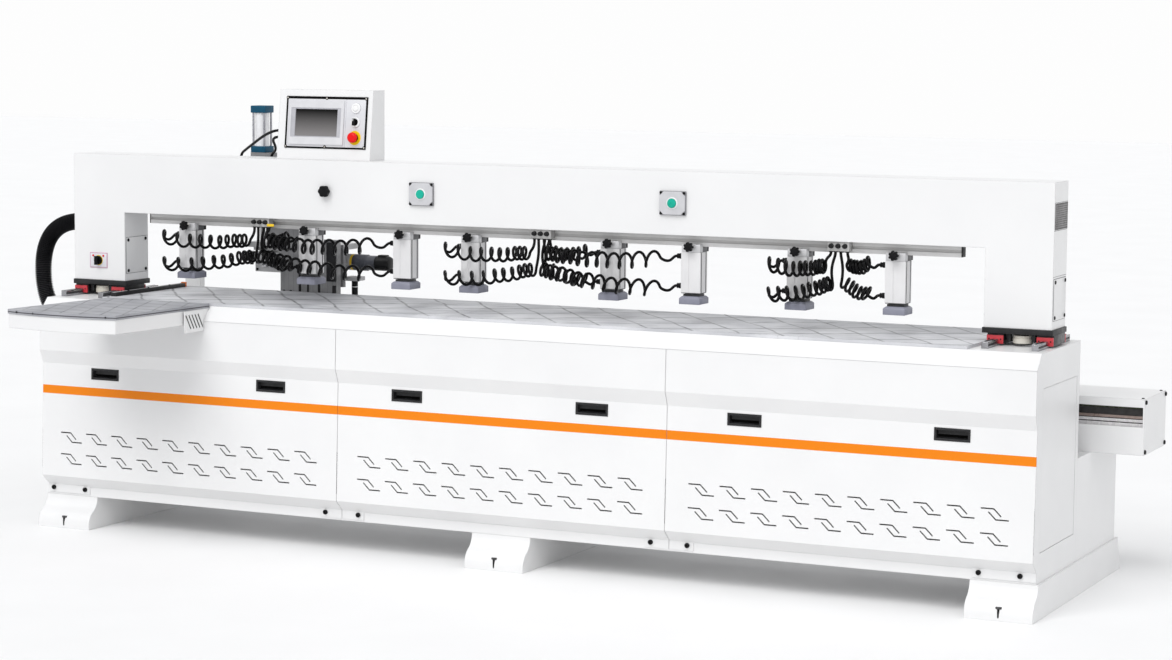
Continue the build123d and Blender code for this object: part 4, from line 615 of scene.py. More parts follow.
# Column covers: sheets over the hand holes, which a rubber edge stands off the column, with four black screws each. On
# the right a louvred plate of dark grey sheet covers the air outlet, below a folded seam of the column.
cover_half = 0.068
sheet_half = 0.0664
cover_y = -0.237
cover_z = 1.004
cover_deep = 0.002
column_faces = ((-1.885, -1), (-1.66, 1), (1.66, -1), (1.885, 1))
cover_white = surface("cover_white", 0.74, 0.775, (0.3, 0.42), 3, 0.05, 900, edge=0.0012, worn=0.62)
edge_grey = surface("edge_grey", (0.1, 0.105), (0.17, 0.175), (0.5, 0.7), 30, 0.05, 900)
louvre_dark = surface("louvre_dark", (0.035, 0.033, 0.034), (0.07, 0.067, 0.068), (0.38, 0.55), 30, 0.06, 900)
louvre_grey = surface("louvre_grey", (0.13, 0.125, 0.128), (0.2, 0.195, 0.198), (0.34, 0.5), 30, 0.06, 900)
for number, (face_x, way) in enumerate(column_faces, start=1):
    near = face_x + way * 0.0001
    far = face_x + way * cover_deep
    cover = [
        block(cover_white, (near, far), about(cover_y, sheet_half), about(cover_z, sheet_half), 0.0005),
        block(edge_grey, (near, face_x + way * 0.0009), about(cover_y, cover_half), about(cover_z, cover_half), 0.0002,
            1),
    ]
    cover += [cap_screw((far, y, z), right * way, 6.2, 0.42) for y in about(cover_y, 0.056)
        for z in about(cover_z, 0.057)]
    settled(cover, f"hatch_cover_{number}", "white_paint", "gantry", "column_covers")
outlet_y = (-0.306, -0.168)
outlet_z = (1.228, 1.312)
outlet_x = 1.885
blade_x = (outlet_x + 0.0006, outlet_x + 0.002)
blade_count = 11
blade_pitch = (outlet_z[1] - outlet_z[0] - 0.008) / blade_count
outlet = [block(louvre_dark, (outlet_x + 0.0001, outlet_x + 0.0009), outlet_y, outlet_z, 0.0003, 1)]
for k in range(blade_count):
    z = outlet_z[0] + 0.004 + blade_pitch * k
    outlet.append(block(louvre_grey, blade_x, inner(outlet_y, 0.006), (z + 0.0014, z + blade_pitch - 0.0008), 0.0005))
for y, side in zip(outlet_y, (0.0055, -0.0055)):
    outlet.append(block(louvre_grey, blade_x, (y, y + side), outlet_z, 0.0004))
settled(outlet, "air_outlet", "grey_steel", "gantry", "column_covers")
seams = [block(edge_grey, (outlet_x - 0.0002, outlet_x + 0.0003), (-0.3112, -0.1628), heights, 0.0001, 1)
    for heights in ((1.2245, 1.2262), (1.3138, 1.3152), (1.0775, 1.0787))]
settled(seams, "column_seams", "white_paint", "gantry")

# Clamp rail: a drawn aluminium section under the beam, with a groove in each side for the clamps' brackets and black
# plastic caps on its ends.
bar_x = (-1.575, 1.571)
bar_y = (-0.272, -0.237)
bar_z = (1.126, 1.164)
cap_deep = 0.004
side_groove_z = 1.145
low_groove_y = -0.2545
rail_alu = surface("rail_alu", (0.56, 0.555, 0.55), (0.66, 0.655, 0.65), (0.3, 0.46), 10, 0.04, 500, metallic=0.1,
    edge=0.0008, worn=0.62)
rail_groove_shade = surface("rail_groove_shade", (0.46, 0.455, 0.45), (0.54, 0.535, 0.53), (0.4, 0.55), 10, 0.04, 500, metallic=0.3)
section = block(None, inner(bar_x, cap_deep), bar_y, bar_z, 0.0008)
for way in (front, -front):
    cut_groove(section, way, up, side_groove_z, 0.01, 0.006)
cut_groove(section, -up, -front, low_groove_y, 0.008, 0.005)
painted(section, rail_alu)
# Painted shade: the faces in the side grooves and the lower groove are painted a dimmer grey.
faces_painted(section, rail_groove_shade, lambda face, c: bar_x[0] + 0.01 < c.x < bar_x[1] - 0.01
    and ((abs(c.z - side_groove_z) < 0.0051 and bar_y[0] + 0.0005 < c.y < bar_y[1] - 0.0005)
    or (abs(c.y - low_groove_y) < 0.0041 and bar_z[0] + 0.0005 < c.z < bar_z[0] + 0.006)))
caps = [block(fence_black, (x, x + cap_deep), inner(bar_y, 0.0004), inner(bar_z, 0.0004))
    for x in (bar_x[0], bar_x[1] - cap_deep)]
settled([section, *caps], "clamp_rail_bar", "aluminium", "gantry", "clamp_rail")

# Supply blocks: three drilled aluminium bars under the beam. Black push-in fittings in their undersides and fronts
# take the hoses, and the first one has a yellow tag.
supply_x = (-1.074, 0.064, 1.156)
supply_y = (-0.3053, -0.2723)
supply_z = (1.128, 1.164)
supply_front = -0.2973
supply_rear = -0.2803
supply_alu = surface("supply_alu", (0.4, 0.395, 0.39), (0.5, 0.495, 0.49), (0.3, 0.48), 14, 0.05, 600, metallic=0.25,
    edge=0.001, worn=(0.5, 0.51))
elbow_black = surface("elbow_black", (0.003, 0.0035), (0.01, 0.011), (0.28, 0.45), 60, 0.06, 1200, shine=0.25)
tag_yellow = surface("tag_yellow", (0.8, 0.5, 0.006), (0.9, 0.6, 0.012), (0.35, 0.5), 30, 0.04, 900)
collar_steps = ((0, 7), (3, 7), (4, 6.4), (4.4, 5))
plug_steps = ((0, 8.5), (4, 8.5), (6, 7), (13, 7), (14.5, 5.6))
ports = [(x, supply_front) for x in (-0.028, -0.012, 0.012, 0.028)] + [(x, supply_rear) for x in (0, 0.024)]
supply = [block(supply_alu, about(supply_x[0], 0.038), supply_y, (supply_z[0] + 0.004, supply_z[1]), 0.0012)]
supply += [turned(elbow_black, (supply_x[0] + x, y, supply_z[0] + 0.0045), -up, collar_steps, 20) for x, y in ports]
supply += [turned(elbow_black, (supply_x[0] + x, supply_y[0] + 0.0006, supply_z[0] + 0.0215), front, plug_steps, 20)
    for x in (-0.024, 0.0, 0.024)]
spread(joined(*supply), supply_x, "supply_block_{}", "black_plastic", "gantry", "air_manifolds")
tag = block(tag_yellow, (-1.044, -1.014), (-0.3075, -0.3058), (1.1345, 1.144), 0.0006)
settled(tag, "supply_tag", "black_plastic", "gantry")

# Clamps: eight air cylinders that hang on the rail of the portal. Each is a satin extruded body with deep side grooves,
# below a bracket that hooks behind the rail and is locked by a black star knob. Two push-in fittings take its hoses.
clamp_x = (-1.394, -0.881, -0.49, -0.217, 0.323, 0.625, 1.008, 1.352)
home_x = clamp_x[0]
clamp_y = -0.267
body_half = 0.035
bracket_half = 0.034
body_y = (-0.297, -0.237)
body_z = (0.96965, 1.10665)
bracket_low = body_z[1] + 0.0004
front_cheek = (-0.297, -0.2723)
rear_cheek = (-0.2367, -0.2207)
knob_z = 1.126
upper_fitting_z = 1.09065
lower_fitting_z = 0.98965
clamp_alu = surface("clamp_alu", (0.68, 0.675, 0.68), (0.77, 0.765, 0.77), (0.32, 0.48), 9, 0.04, 700, metallic=0.15,
    edge=0.0008, worn=(0.82, 0.83))
dark_steel_and_groove_shade = surface("dark_steel_and_groove_shade", (0.1, 0.105), (0.16, 0.165), (0.45, 0.6), 9, 0.04, 700, metallic=0.4)
bracket_alu = surface("bracket_alu", (0.52, 0.53), (0.62, 0.63), (0.3, 0.46), 12, 0.05, 800, metallic=0.5, edge=0.001,
    worn=(0.8, 0.81))
knob_black = surface("knob_black", (0.003, 0.0035), (0.009, 0.01), (0.22, 0.4), 60, 0.08, 1500, shine=0.1)
nickel = surface("nickel", (0.5, 0.48, 0.44), (0.62, 0.6, 0.56), (0.18, 0.32), 40, 0.03, 600, metallic=0.9)


def star_knob(place, tip, waist, lobes, height):
    """A moulded star grip on a front: a lobed ring drawn out to a crowned top."""
    knob = fresh(bpy.ops.mesh.primitive_circle_add, vertices=12 * lobes, radius=1, fill_type="NGON")
    for point in knob.data.vertices:
        turn = math.atan2(point.co.y, point.co.x)
        reach = waist + (tip - waist) * (0.5 + 0.5 * math.cos(lobes * turn)) ** 0.7
        point.co = Vector((reach * math.cos(turn), reach * math.sin(turn), 0))
    opened()
    bpy.ops.transform.resize(value=(0.9, 0.9, 1))
    for rise, growth in ((0.12, 1.11), (0.62, 1.0), (0.16, 0.9), (0.1, 0.55)):
        drawn(0, 0, rise * height)
        bpy.ops.transform.resize(value=(growth, growth, 1))
    closed()
    knob.data.transform(Matrix.Translation(place) @ front.to_track_quat("Z", "Y").to_matrix().to_4x4())
    return painted(knob, knob_black)


cylinder = block(None, about(home_x, body_half), body_y, body_z, 0.0)
cut_groove(cylinder, front, right, home_x - 0.006, 0.003, 0.001)
for side in (-1, 1):
    for offset in (0.011, 0.05):
        cut_groove(cylinder, right * side, -front, body_y[0] + offset, 0.006, 0.004)
painted(cylinder, clamp_alu)
# Painted shade: the faces in the cylinder's side grooves are painted dark grey.
faces_painted(cylinder, dark_steel_and_groove_shade, lambda face, c: body_half - 0.0045 < abs(c.x - home_x) < body_half - 0.0005
    and abs(face.normal.z) < 0.5 and body_y[0] + 0.004 < c.y < body_y[1] - 0.004)
clamp = joined(
    cylinder,
    block(dark_steel_and_groove_shade, about(home_x, bracket_half), inner(body_y, 0.001), (body_z[0] - 0.003, body_z[0] + 0.0002),
        0.0008),
    block(bracket_alu, about(home_x, bracket_half), front_cheek, (bracket_low, 1.13365), 0.0012),
    block(fence_black, about(home_x, bracket_half), rear_cheek, (bracket_low, 1.155), 0.0012),
    block(dark_steel_and_groove_shade, about(home_x, bracket_half), (front_cheek[1] - 0.002, rear_cheek[0] + 0.002),
        (bracket_low, 1.12565), 0.0006),
)
knob = joined(
    star_knob((home_x, front_cheek[0] - 0.012, knob_z), 0.0172, 0.0128, 7, 0.0195),
    turned(nickel, (home_x, front_cheek[0], knob_z), front, ((0, 7.5), (2, 7.5), (3, 6), (12.5, 6)), 24),
)
hexagon_steps = ((0, 8), (1, 9.2), (6, 9.2), (7, 8))
push_in_steps = ((0, 8.4), (1, 9.6), (11, 9.6), (12, 8.8), (12.5, 7.4), (15, 7.4), (16, 9), (18.8, 9), (19.5, 7.2))
fittings = []
for z in (upper_fitting_z, lower_fitting_z):
    fittings += [
        turned(nickel, (home_x - body_half, clamp_y, z), -right, hexagon_steps, 6),
        turned(knob_black, (home_x - body_half - 0.007, clamp_y, z), -right, push_in_steps, 24),
    ]
for template, part, slot in ((clamp, "body", "aluminium"), (knob, "knob", "black_plastic"),
                             (joined(*fittings), "fittings", "black_plastic")):
    spread(template, clamp_x, "clamp_{}_" + part, slot, "clamp_body_{}", "clamp_{}")

# Press feet: two ground rods and a black plate that the cylinder drives down, with a blue-grey moulded pad that has
# slanted top edges and presses the board on to the table.
foot_plate = (0.95765, 0.96465)
pad_low = 0.93065
rod_length = 94.95
rod_steel = surface("rod_steel", (0.45, 0.46), (0.6, 0.61), (0.12, 0.24), 30, 0.02, 500, metallic=0.95)
pad_grey = surface("pad_grey", (0.205, 0.21, 0.265), (0.265, 0.27, 0.33), (0.42, 0.6), 14, 0.1, 900, edge=0.001,
    worn=(0.36, 0.365, 0.42))
plate_black = surface("plate_black", (0.01, 0.011), (0.028, 0.03), (0.4, 0.6), 30, 0.06, 800)
guide = joined(
    block(plate_black, about(home_x, 0.029), about(clamp_y, 0.024), foot_plate),
    *(turned(rod_steel, (x, clamp_y, foot_plate[1]), up, ((0, 5.8), (rod_length - 1, 5.8), (rod_length, 5)), 20)
        for x in about(home_x, 0.02)),
)
pad = flat_sheet((home_x, clamp_y, pad_low), 0.076, 0.08, tilt=0)
drawn(0, 0, 0.0205)
inset(0.0075, 0.0065)
closed()
painted(softened(pad, 0.0018, 3), pad_grey)
for template, part, slot in ((guide, "guide", "black_steel"), (pad, "pad", "pad_grey")):
    spread(template, clamp_x, "press_{}_" + part, slot, "press_body_{}", "press_foot_{}")

# Control box: a folded white steel case on the beam, with a front that leans back. Its panel is a pale plate on a black
# gasket, held by six screws, which carries an operator terminal in a moulded bezel with a dark glass.
dress(white_paint, "control_box")
box_front = -0.268
box_foot = 1.38
box_lean = math.asin(0.111304)
leaning = turn_about((0, box_front, box_foot), -box_lean, "X")
panel_x = (-0.994, -0.656)
panel_v = (0.04, 0.2276)
seam_x = (-0.743, -0.7418)
gasket_deep = 0.0022
panel_deep = 0.004
ear_inset = 0.0062
bezel_x = (-0.975, -0.749)
bezel_v = (0.053, 0.213)
bezel_deep = 0.01
well_x = (-0.968, -0.76)
well_v = (0.08, 0.186)
screen_x = (-0.951, -0.775)
screen_v = (0.083, 0.182)
reflection_z = (1.555, 1.458)


def leaned(*pieces):
    """Join pieces that were modelled upright and tip them on to the leaning front of the control box."""
    piece = joined(*pieces)
    piece.data.transform(leaning)
    return piece


def on_front(x, v, deep):
    """A place before the box's front while it is upright: along, up from its foot, and out."""
    return Vector((x, box_front - deep, box_foot + v))


def front_block(material, x, v, deep, soft=0.001, steps=2):
    """A block on the box's front while it is upright."""
    return block(material, x, [box_front - d for d in deep], [box_foot + w for w in v], soft, steps)


gasket_and_shadow_black = surface("gasket_and_shadow_black", 0.001, 0.004, (0.5, 0.7), 60, 0.05, 900, shine=0.05)
panel_pale = surface("panel_pale", (0.6, 0.63), (0.66, 0.68), (0.34, 0.46), 12, 0.04, 1300, edge=0.0006)
paint_over(panel_pale, (0.36, 0.36, 0.4), within(panel_pale, "X", *seam_x))
bezel_grey = surface("bezel_grey", (0.6, 0.62), (0.66, 0.68), (0.3, 0.44), 20, 0.06, 1500, edge=0.001,
    worn=(0.76, 0.78))
well_and_ring_shadow_grey = surface("well_and_ring_shadow_grey", (0.4, 0.43), (0.47, 0.5), (0.35, 0.5), 20, 0.05, 1500)
screen_dark = surface("screen_dark", 0.003, 0.006, (0.1, 0.18), 6, 0.01, 300, shine=0.12)
# Painted reflection: the glass is black at its top and fades to grey towards its foot.
height = step(screen_dark, "SeparateXYZ", {"Vector": own_place(screen_dark)})["Z"]
reflection_fade = step(screen_dark, "MapRange", {"Value": height, "From Min": reflection_z[0], "From Max": reflection_z[1]})["Result"]
paint_over(screen_dark, (0.235, 0.225, 0.225), reflection_fade)
# Painted shade: the gasket's black band shows wider above the plate than below it, where it is partly painted shadow.
panel_pieces = [
    front_block(gasket_and_shadow_black, panel_x, panel_v, (gasket_deep, 0), 0.0008),
    front_block(panel_pale, inner(panel_x, 0.0085, 0.0068), inner(panel_v, 0.0062, 0.0095),
        (panel_deep, gasket_deep - 0.0002), 0.0006),
]
for v in inner(panel_v, ear_inset):
    for x in (panel_x[0] + ear_inset, sum(panel_x) / 2, panel_x[1] - ear_inset):
        panel_pieces += [
            turned(gasket_and_shadow_black, on_front(x, v, 0.001), front, ((0, 6), (3.1, 6), (3.3, 5.6)), 24),
            cap_screw(on_front(x, v, 0.0042), front, 3, 0.5, nickel),
        ]
settled(leaned(*panel_pieces), "panel_plate", "panel_grey", "gantry", "control_panel")

bezel = flat_sheet(on_front(sum(bezel_x) / 2, sum(bezel_v) / 2, panel_deep), bezel_x[1] - bezel_x[0],
    bezel_v[1] - bezel_v[0])
drawn(0, panel_deep + 0.0012 - bezel_deep, 0)
inset(0.0016, 0.0012)
inner_x = inner(bezel_x, 0.0016)
inner_v = inner(bezel_v, 0.0016)
for next_x, next_v, sink in ((well_x, well_v, 0.0012), (screen_x, screen_v, 0.0022)):
    inset(0.0005)
    now_x = inner(inner_x, 0.0005)
    now_v = inner(inner_v, 0.0005)
    bpy.ops.transform.resize(value=((next_x[1] - next_x[0]) / (now_x[1] - now_x[0]), 1,
        (next_v[1] - next_v[0]) / (now_v[1] - now_v[0])))
    bpy.ops.transform.translate(value=((sum(next_x) - sum(now_x)) / 2, 0, (sum(next_v) - sum(now_v)) / 2))
    inset(0.001, -sink)
    inner_x = inner(next_x, 0.001)
    inner_v = inner(next_v, 0.001)
bpy.ops.object.mode_set(mode="OBJECT")
painted(bezel, bezel_grey)
well_y = (box_front - bezel_deep + 0.0005, box_front - panel_deep - 0.0035)
faces_painted(bezel, well_and_ring_shadow_grey, lambda face, c: well_y[0] < c.y < well_y[1]
    and well_x[0] - 0.001 < c.x < well_x[1] + 0.001 and abs(c.z - box_foot - sum(well_v) / 2) < 0.054)
faces_painted(bezel, screen_dark, lambda face, c: face.normal.y < -0.9 and c.y > box_front - bezel_deep + 0.003)
settled(leaned(bezel), "terminal", "screen_dark", "gantry", "touch_screen")

# Buttons of the control box: a white push button in a bright ring, a black selector with a grip bar in a white ring,
# and a red mushroom head over a yellow disc. The rings are clamped to the panel, and the heads move in them.
control_x = -0.702
start_v = 0.18696
selector_v = 0.13705
stop_v = 0.081
ring_white = surface("ring_white", (0.78, 0.79), 0.84, (0.18, 0.3), 30, 0.03, 900)
cap_white = surface("cap_white", 0.78, 0.84, (0.2, 0.34), 30, 0.04, 900)
warn_yellow = surface("warn_yellow", (0.76, 0.5, 0.003), (0.88, 0.6, 0.005), (0.3, 0.44), 25, 0.04, 900, shine=0.2)
stop_red = surface("stop_red", (0.66, 0.003, 0.004), (0.78, 0.007, 0.007), (0.24, 0.38), 25, 0.04, 900, shine=0.2)
pointer_white = surface("pointer_white", 0.74, 0.82, (0.4, 0.5), 30, 0.02, 900)


def control(material, v, deep, steps, sides=40):
    """A turned piece of the row of controls."""
    return turned(material, on_front(control_x, v, deep), front, steps, sides)


# Painted shadow: the thin grey discs just outside the white rings of the start button and the selector.
rings = leaned(
    control(ring_white, start_v, 0.0038, ((0, 18.6), (3.4, 18.6), (5.2, 16.8), (5.2, 11.6), (0.8, 11.4))),
    control(well_and_ring_shadow_grey, start_v, 0.0037, ((0, 19.8), (0.7, 19.8), (0.9, 18.8))),
    control(well_and_ring_shadow_grey, selector_v, 0.0037, ((0, 20), (0.7, 20), (0.9, 19))),
    control(ring_white, selector_v, 0.0038, ((0, 18.8), (3, 18.8), (4.8, 16.6), (4.8, 12.4), (1, 12.2))),
    control(warn_yellow, stop_v, 0.0038, ((0, 25.5), (1, 25.5), (1.8, 24.5), (1.8, 20)), 48),
    control(knob_black, stop_v, 0.005, ((0, 15), (6, 14), (6, 10.5), (2, 10))),
)
settled(rings, "button_rings", "panel_grey", "gantry", "control_panel")
start_cap = control(cap_white, start_v, 0.0002, ((0, 10.8), (9.2, 10.8), (10.4, 9.8), (11, 7), (11.1, 3)))
settled(leaned(start_cap), "start_cap", "button_white", "start", "start_button")
stop_head = control(stop_red, stop_v, 0.0004,
    ((0, 9.2), (15, 9.2), (15.5, 16.5), (18, 18.7), (22.5, 19), (26.5, 17.8), (29.5, 14), (30.5, 8)), 48)
settled(leaned(stop_head), "stop_head", "button_red", "stop", "stop_button")
selector = leaned(
    control(knob_black, selector_v, 0.0006, ((0, 11.6), (8.5, 11.6), (9.6, 10.8), (9.6, 6))),
    front_block(knob_black, about(control_x, 0.0042), about(selector_v, 0.0128), (0.024, 0.008), 0.0016, 3),
    front_block(pointer_white, about(control_x, 0.0012), (selector_v + 0.003, selector_v + 0.0122), (0.0243, 0.023),
        0.0002),
)
settled(selector, "selector", "black_plastic", "selector", "selector_knob")

# Bench button boxes: two shallow grey boxes on the beam, with cut corners that leave room for black screws. Each has
# one green push button in a pale ring.
hands = ("left", "right")
bench_x = (-0.4005, 0.5655)
bench_z = 1.272
beam_front = -0.312
box_half = (0.0485, 0.041)
screw_half = (0.0423, 0.0348)
bench_grey = surface("bench_grey", (0.5, 0.52), (0.57, 0.59), (0.34, 0.48), 25, 0.06, 1200, edge=0.001,
    worn=(0.66, 0.68))
base_grey = surface("base_grey", (0.2, 0.215), (0.27, 0.285), (0.36, 0.52), 25, 0.06, 1200)
push_green = surface("push_green", (0.003, 0.34, 0.24), (0.008, 0.44, 0.32), (0.22, 0.36), 25, 0.04, 900, shine=0.25)
base = block(base_grey, about(bench_x[0], box_half[0]), (beam_front - 0.007, beam_front), about(bench_z, box_half[1]),
    0.0016)
lid = flat_sheet((bench_x[0], beam_front - 0.0066, bench_z), 2 * box_half[0] - 0.004, 2 * box_half[1] - 0.004)
bpy.ops.mesh.bevel(offset=0.0145, segments=1, affect="VERTICES")
bpy.ops.mesh.select_all(action="SELECT")
drawn(0, -0.0044, 0)
inset(0.0014, 0.001)
closed()
bench_pieces = [painted(lid, bench_grey), base]
bench_pieces += [cap_screw((x, beam_front - 0.007, z), front, 4.7, 0.9) for x in about(bench_x[0], screw_half[0])
    for z in about(bench_z, screw_half[1])]
bench_pieces.append(turned(ring_white, (bench_x[0], beam_front - 0.0118, bench_z), front,
    ((0, 20.5), (1, 20.5), (2.4, 18.6), (2.4, 16.8), (0.4, 16.6)), 40))
bench_box = joined(*bench_pieces)
green_head = turned(push_green, (bench_x[0], beam_front - 0.0062, bench_z), front,
    ((0, 15.6), (10.8, 15.6), (12.2, 14.6), (12.8, 11)), 40)
spread(bench_box, bench_x, "bench_box_{}", "panel_grey", "gantry", "button_plates", labels=hands)
spread(green_head, bench_x, "bench_push_{}", "button_green", "bench_{}", "{}_button", labels=hands)

# Air regulator and main switch: a black lobed knob on the beam, and on the left column a pale plate with a tinted edge,
# two red lamps and a black rotary grip on a yellow ring.
regulator_x = -0.792
regulator_z = 1.2703
collar = turned(nickel, (regulator_x, beam_front - 0.0003, regulator_z), front, ((0, 12.5), (5, 12.5), (6, 11.5)))
grip = star_knob((regulator_x, beam_front - 0.006, regulator_z), 0.0216, 0.0186, 6, 0.0198)
settled([grip, collar], "regulator", "black_plastic", "regulator", "regulator_knob")

switch_x = -1.777
switch_z = 0.9825
switch_face = beam_front - 0.0033
switch_tint = surface("switch_tint", (0.5, 0.3, 0.4), (0.58, 0.36, 0.46), (0.34, 0.46), 30, 0.03, 900)
switch_pale = surface("switch_pale", (0.66, 0.65, 0.69), (0.72, 0.71, 0.74), (0.34, 0.46), 30, 0.03, 900)
lamp_red = surface("lamp_red", (0.55, 0.005, 0.008), (0.7, 0.01, 0.012), (0.16, 0.28), 40, 0.02, 900, shine=0.2)
switch_pieces = [
    block(switch_tint, about(switch_x, 0.039), (beam_front - 0.0025, beam_front), about(switch_z, 0.0285), 0.0008),
    block(switch_pale, about(switch_x, 0.0358), (beam_front - 0.0029, beam_front - 0.002), about(switch_z, 0.0253),
        0.0003),
    turned(warn_yellow, (switch_x, beam_front - 0.0026, switch_z), front, ((0, 19), (0.4, 19), (0.6, 18)), 40),
]
switch_pieces += [turned(lamp_red, (x, beam_front - 0.0026, 0.9995), front, ((0, 4.2), (1.6, 4), (3, 2.8), (3.4, 1.2)),
    24) for x in (-1.8004, -1.755)]
settled(switch_pieces, "switch_plate", "panel_grey", "gantry", "button_plates")
switch_disc = turned(knob_black, (switch_x, switch_face, switch_z), front,
    ((0, 16.8), (6, 16.8), (7.5, 15.5), (7.5, 8)), 40)
switch_bar = block(knob_black, about(switch_x, 0.006), (switch_face - 0.0215, switch_face - 0.006),
    about(switch_z, 0.0165), 0.0022, 3)
settled([switch_disc, switch_bar], "main_switch", "black_plastic", "main_switch", "main_switch_knob")

# Boring head, slides: a saddle on the beam's rails holds an upright plate of ground steel, with dark rail covers on its
# front and socket screws at its foot. The lift plate behind it is of the same steel.
head_steel = surface("head_steel", (0.2, 0.205), (0.31, 0.315), (0.3, 0.5), 12, 0.06, 400, metallic=0.35, edge=0.0012,
    worn=(0.46, 0.47))
slanted_lines(head_steel, (1.0, 0.0), 0.021, 0.0016, 0.12, (0.12, 0.12, 0.125), 0.55, on_top=False)
lift_steel = surface("lift_steel", (0.3, 0.305), (0.42, 0.425), (0.26, 0.44), 12, 0.06, 400, metallic=0.4, edge=0.0012,
    worn=(0.58, 0.59))
dress(head_steel, "head_saddle", "head_column")
dress(lift_steel, "lift_plate")
column_front = 0.096
bar_places = (
    ((-1.154, -1.146), (0.56, 1.05), 0.004), ((-1.118, -1.111), (0.56, 1.05), 0.003),
    ((-1.07, -1.062), (0.56, 1.05), 0.004), ((-1.03, -0.992), (0.905, 1.052), 0.008),
    ((-1.006, -0.993), (0.56, 0.89), 0.006),
)
cover_bars = [block(fence_black, x, (column_front - proud, column_front + 0.0005), z) for x, z, proud in bar_places]
cover_bars += [cap_screw((x, column_front, z), front, 6.5, 0.9) for x in (-1.218, -1.136, -1.09, -1.008)
    for z in (0.5705, 0.6035)]
cover_bars += [cap_screw((x, column_front, z), front, 5, 0.8) for x in (-1.22, -1.19) for z in (0.78, 0.86, 0.94, 1.02)]
settled(cover_bars, "column_covers_dark", "black_steel", "head")

# Lift cylinder: a round bright tube between two cast caps in blue-green paint, held together by four tie rods. A
# cushion screw sits in the left side of each cap.
lift_x = -1.334
lift_y = 0.128
cap_half = 0.032
cap_zs = ((1.381, 1.405), (1.531, 1.558))
tube_foot = 1.404
tie_half = 0.024
cap_teal = surface("cap_teal", (0.002, 0.056, 0.108), (0.005, 0.078, 0.142), (0.3, 0.46), 18, 0.08, 700, edge=0.0012,
    worn=(0.05, 0.16, 0.22), shine=0.2)
tube_bright = surface("tube_bright", (0.84, 0.86), (0.88, 0.89), (0.24, 0.34), 14, 0.01, 500)
tie_steel = surface("tie_steel", (0.3, 0.33), (0.42, 0.45), (0.22, 0.38), 30, 0.04, 500, metallic=0.7)
cylinder = []
for cap_z in cap_zs:
    cylinder += [
        block(cap_teal, about(lift_x, cap_half), about(lift_y, cap_half), cap_z, 0.0022, 3),
        cap_screw((lift_x - cap_half + 0.004, lift_y, sum(cap_z) / 2), -right, 4, 0.2, nickel),
    ]
cylinder.append(turned(tube_bright, (lift_x, lift_y, tube_foot), up,
    ((0, 27), (6, 27), (6.2, 26.2), (122, 26.2), (122.2, 27), (128, 27)), 48))
cylinder += [turned(tie_steel, (x, y, tube_foot), up, ((0, 4.2), (128, 4.2)), 16) for x in about(lift_x, tie_half)
    for y in about(lift_y, tie_half)]
settled(cylinder, "lift_barrel", "aluminium", "head", "lift_cylinder")

# Drill unit: a machined aluminium gearbox on the shelf's rails, with tapped holes, push-in fittings and a hand valve at
# its left. The motor has a bright bell and flange, a yellow ring, a slate body and a black end bell with a gland.
unit_alu = surface("unit_alu", (0.44, 0.445), (0.56, 0.565), (0.26, 0.44), 14, 0.05, 600, metallic=0.5, edge=0.001,
    worn=(0.74, 0.75))
motor_slate = surface("motor_slate", (0.052, 0.056, 0.07), (0.085, 0.09, 0.108), (0.3, 0.46), 18, 0.06, 700)
dress(unit_alu, "drill_block")
unit_front = 0.14
valve_x = -1.409
valve_z = 0.982
valve_y = (0.15, 0.186)
unit_pieces = [cap_screw((x, unit_front, z), front, 4.8, 0.7) for z in (0.988, 0.934) for x in (-1.366, -1.254)]
unit_pieces += [cap_screw((x, unit_front, 0.99), front, 3.6, 0.7) for x in (-1.345, -1.275)]
unit_pieces += [turned(elbow_black, (x, unit_front + 0.0005, z), front,
    ((0, 7.5), (7, 7.5), (8, 6.6), (17, 6.6), (18.5, 5.2)), 20)
    for x, z in ((-1.358, 0.962), (-1.262, 0.962), (-1.31, 0.985))]
unit_pieces += [
    block(elbow_black, about(valve_x, 0.019), valve_y, about(valve_z, 0.017), 0.002, 3),
    block(unit_alu, (valve_x + 0.016, -1.3745), (0.156, 0.182), about(valve_z, 0.011)),
    turned(elbow_black, (valve_x, sum(valve_y) / 2, valve_z - 0.0165), -up,
        ((0, 9), (6, 9), (8, 7.5), (16, 7.5), (18, 6)), 20),
    turned(nickel, (valve_x, valve_y[0] + 0.0005, valve_z), front, ((0, 6), (10, 6), (11, 5)), 16),
    star_knob((valve_x, valve_y[0] - 0.01, valve_z), 0.02, 0.0115, 5, 0.012),
]
settled(unit_pieces, "unit_fittings", "black_plastic", "drill")
motor_y = 0.245
motor_z = 0.968
body_steps = [(0, 30.4)]
for k in range(9):
    body_steps += [(reach + 6.5 * k, radius) for reach, radius in ((1, 31), (4.8, 31), (5.2, 28.8), (6.2, 28.8))]
body_steps += [(60, 28.8), (61, 28), (96, 28)]
motor_pieces = [turned(finish, (x, motor_y, motor_z), right, steps, sides) for finish, x, steps, sides in (
    (unit_alu, -1.245, ((0, 25.5), (2, 27), (144, 27), (146, 26.2)), 40),
    (unit_alu, -1.0872, ((0, 30), (2, 31), (81, 31), (82.5, 30)), 48),
    (tag_yellow, -1.005, ((0, 30.4), (0.4, 31), (8.6, 31), (9, 30.4)), 48),
    (elbow_black, -0.9002, ((0, 27), (1, 28), (52, 28), (60, 23.5), (63.2, 15)), 40),
    (motor_slate, -0.9962, body_steps, 48),
)]
motor_pieces += [
    block(unit_alu, (-1.099, -1.087), about(motor_y, 0.033), about(motor_z, 0.033), 0.0015, 3),
    block(elbow_black, (-0.89, -0.856), about(motor_y, 0.014), (motor_z + 0.018, motor_z + 0.0325), 0.002, 3),
]
motor_pieces += [cap_screw((-1.087, y, z), right, 3.8, 0.9) for z in about(motor_z, 0.027)
    for y in about(motor_y, 0.027)]
settled(motor_pieces, "motor_unit", "motor_dark", "drill", "drill_motor")

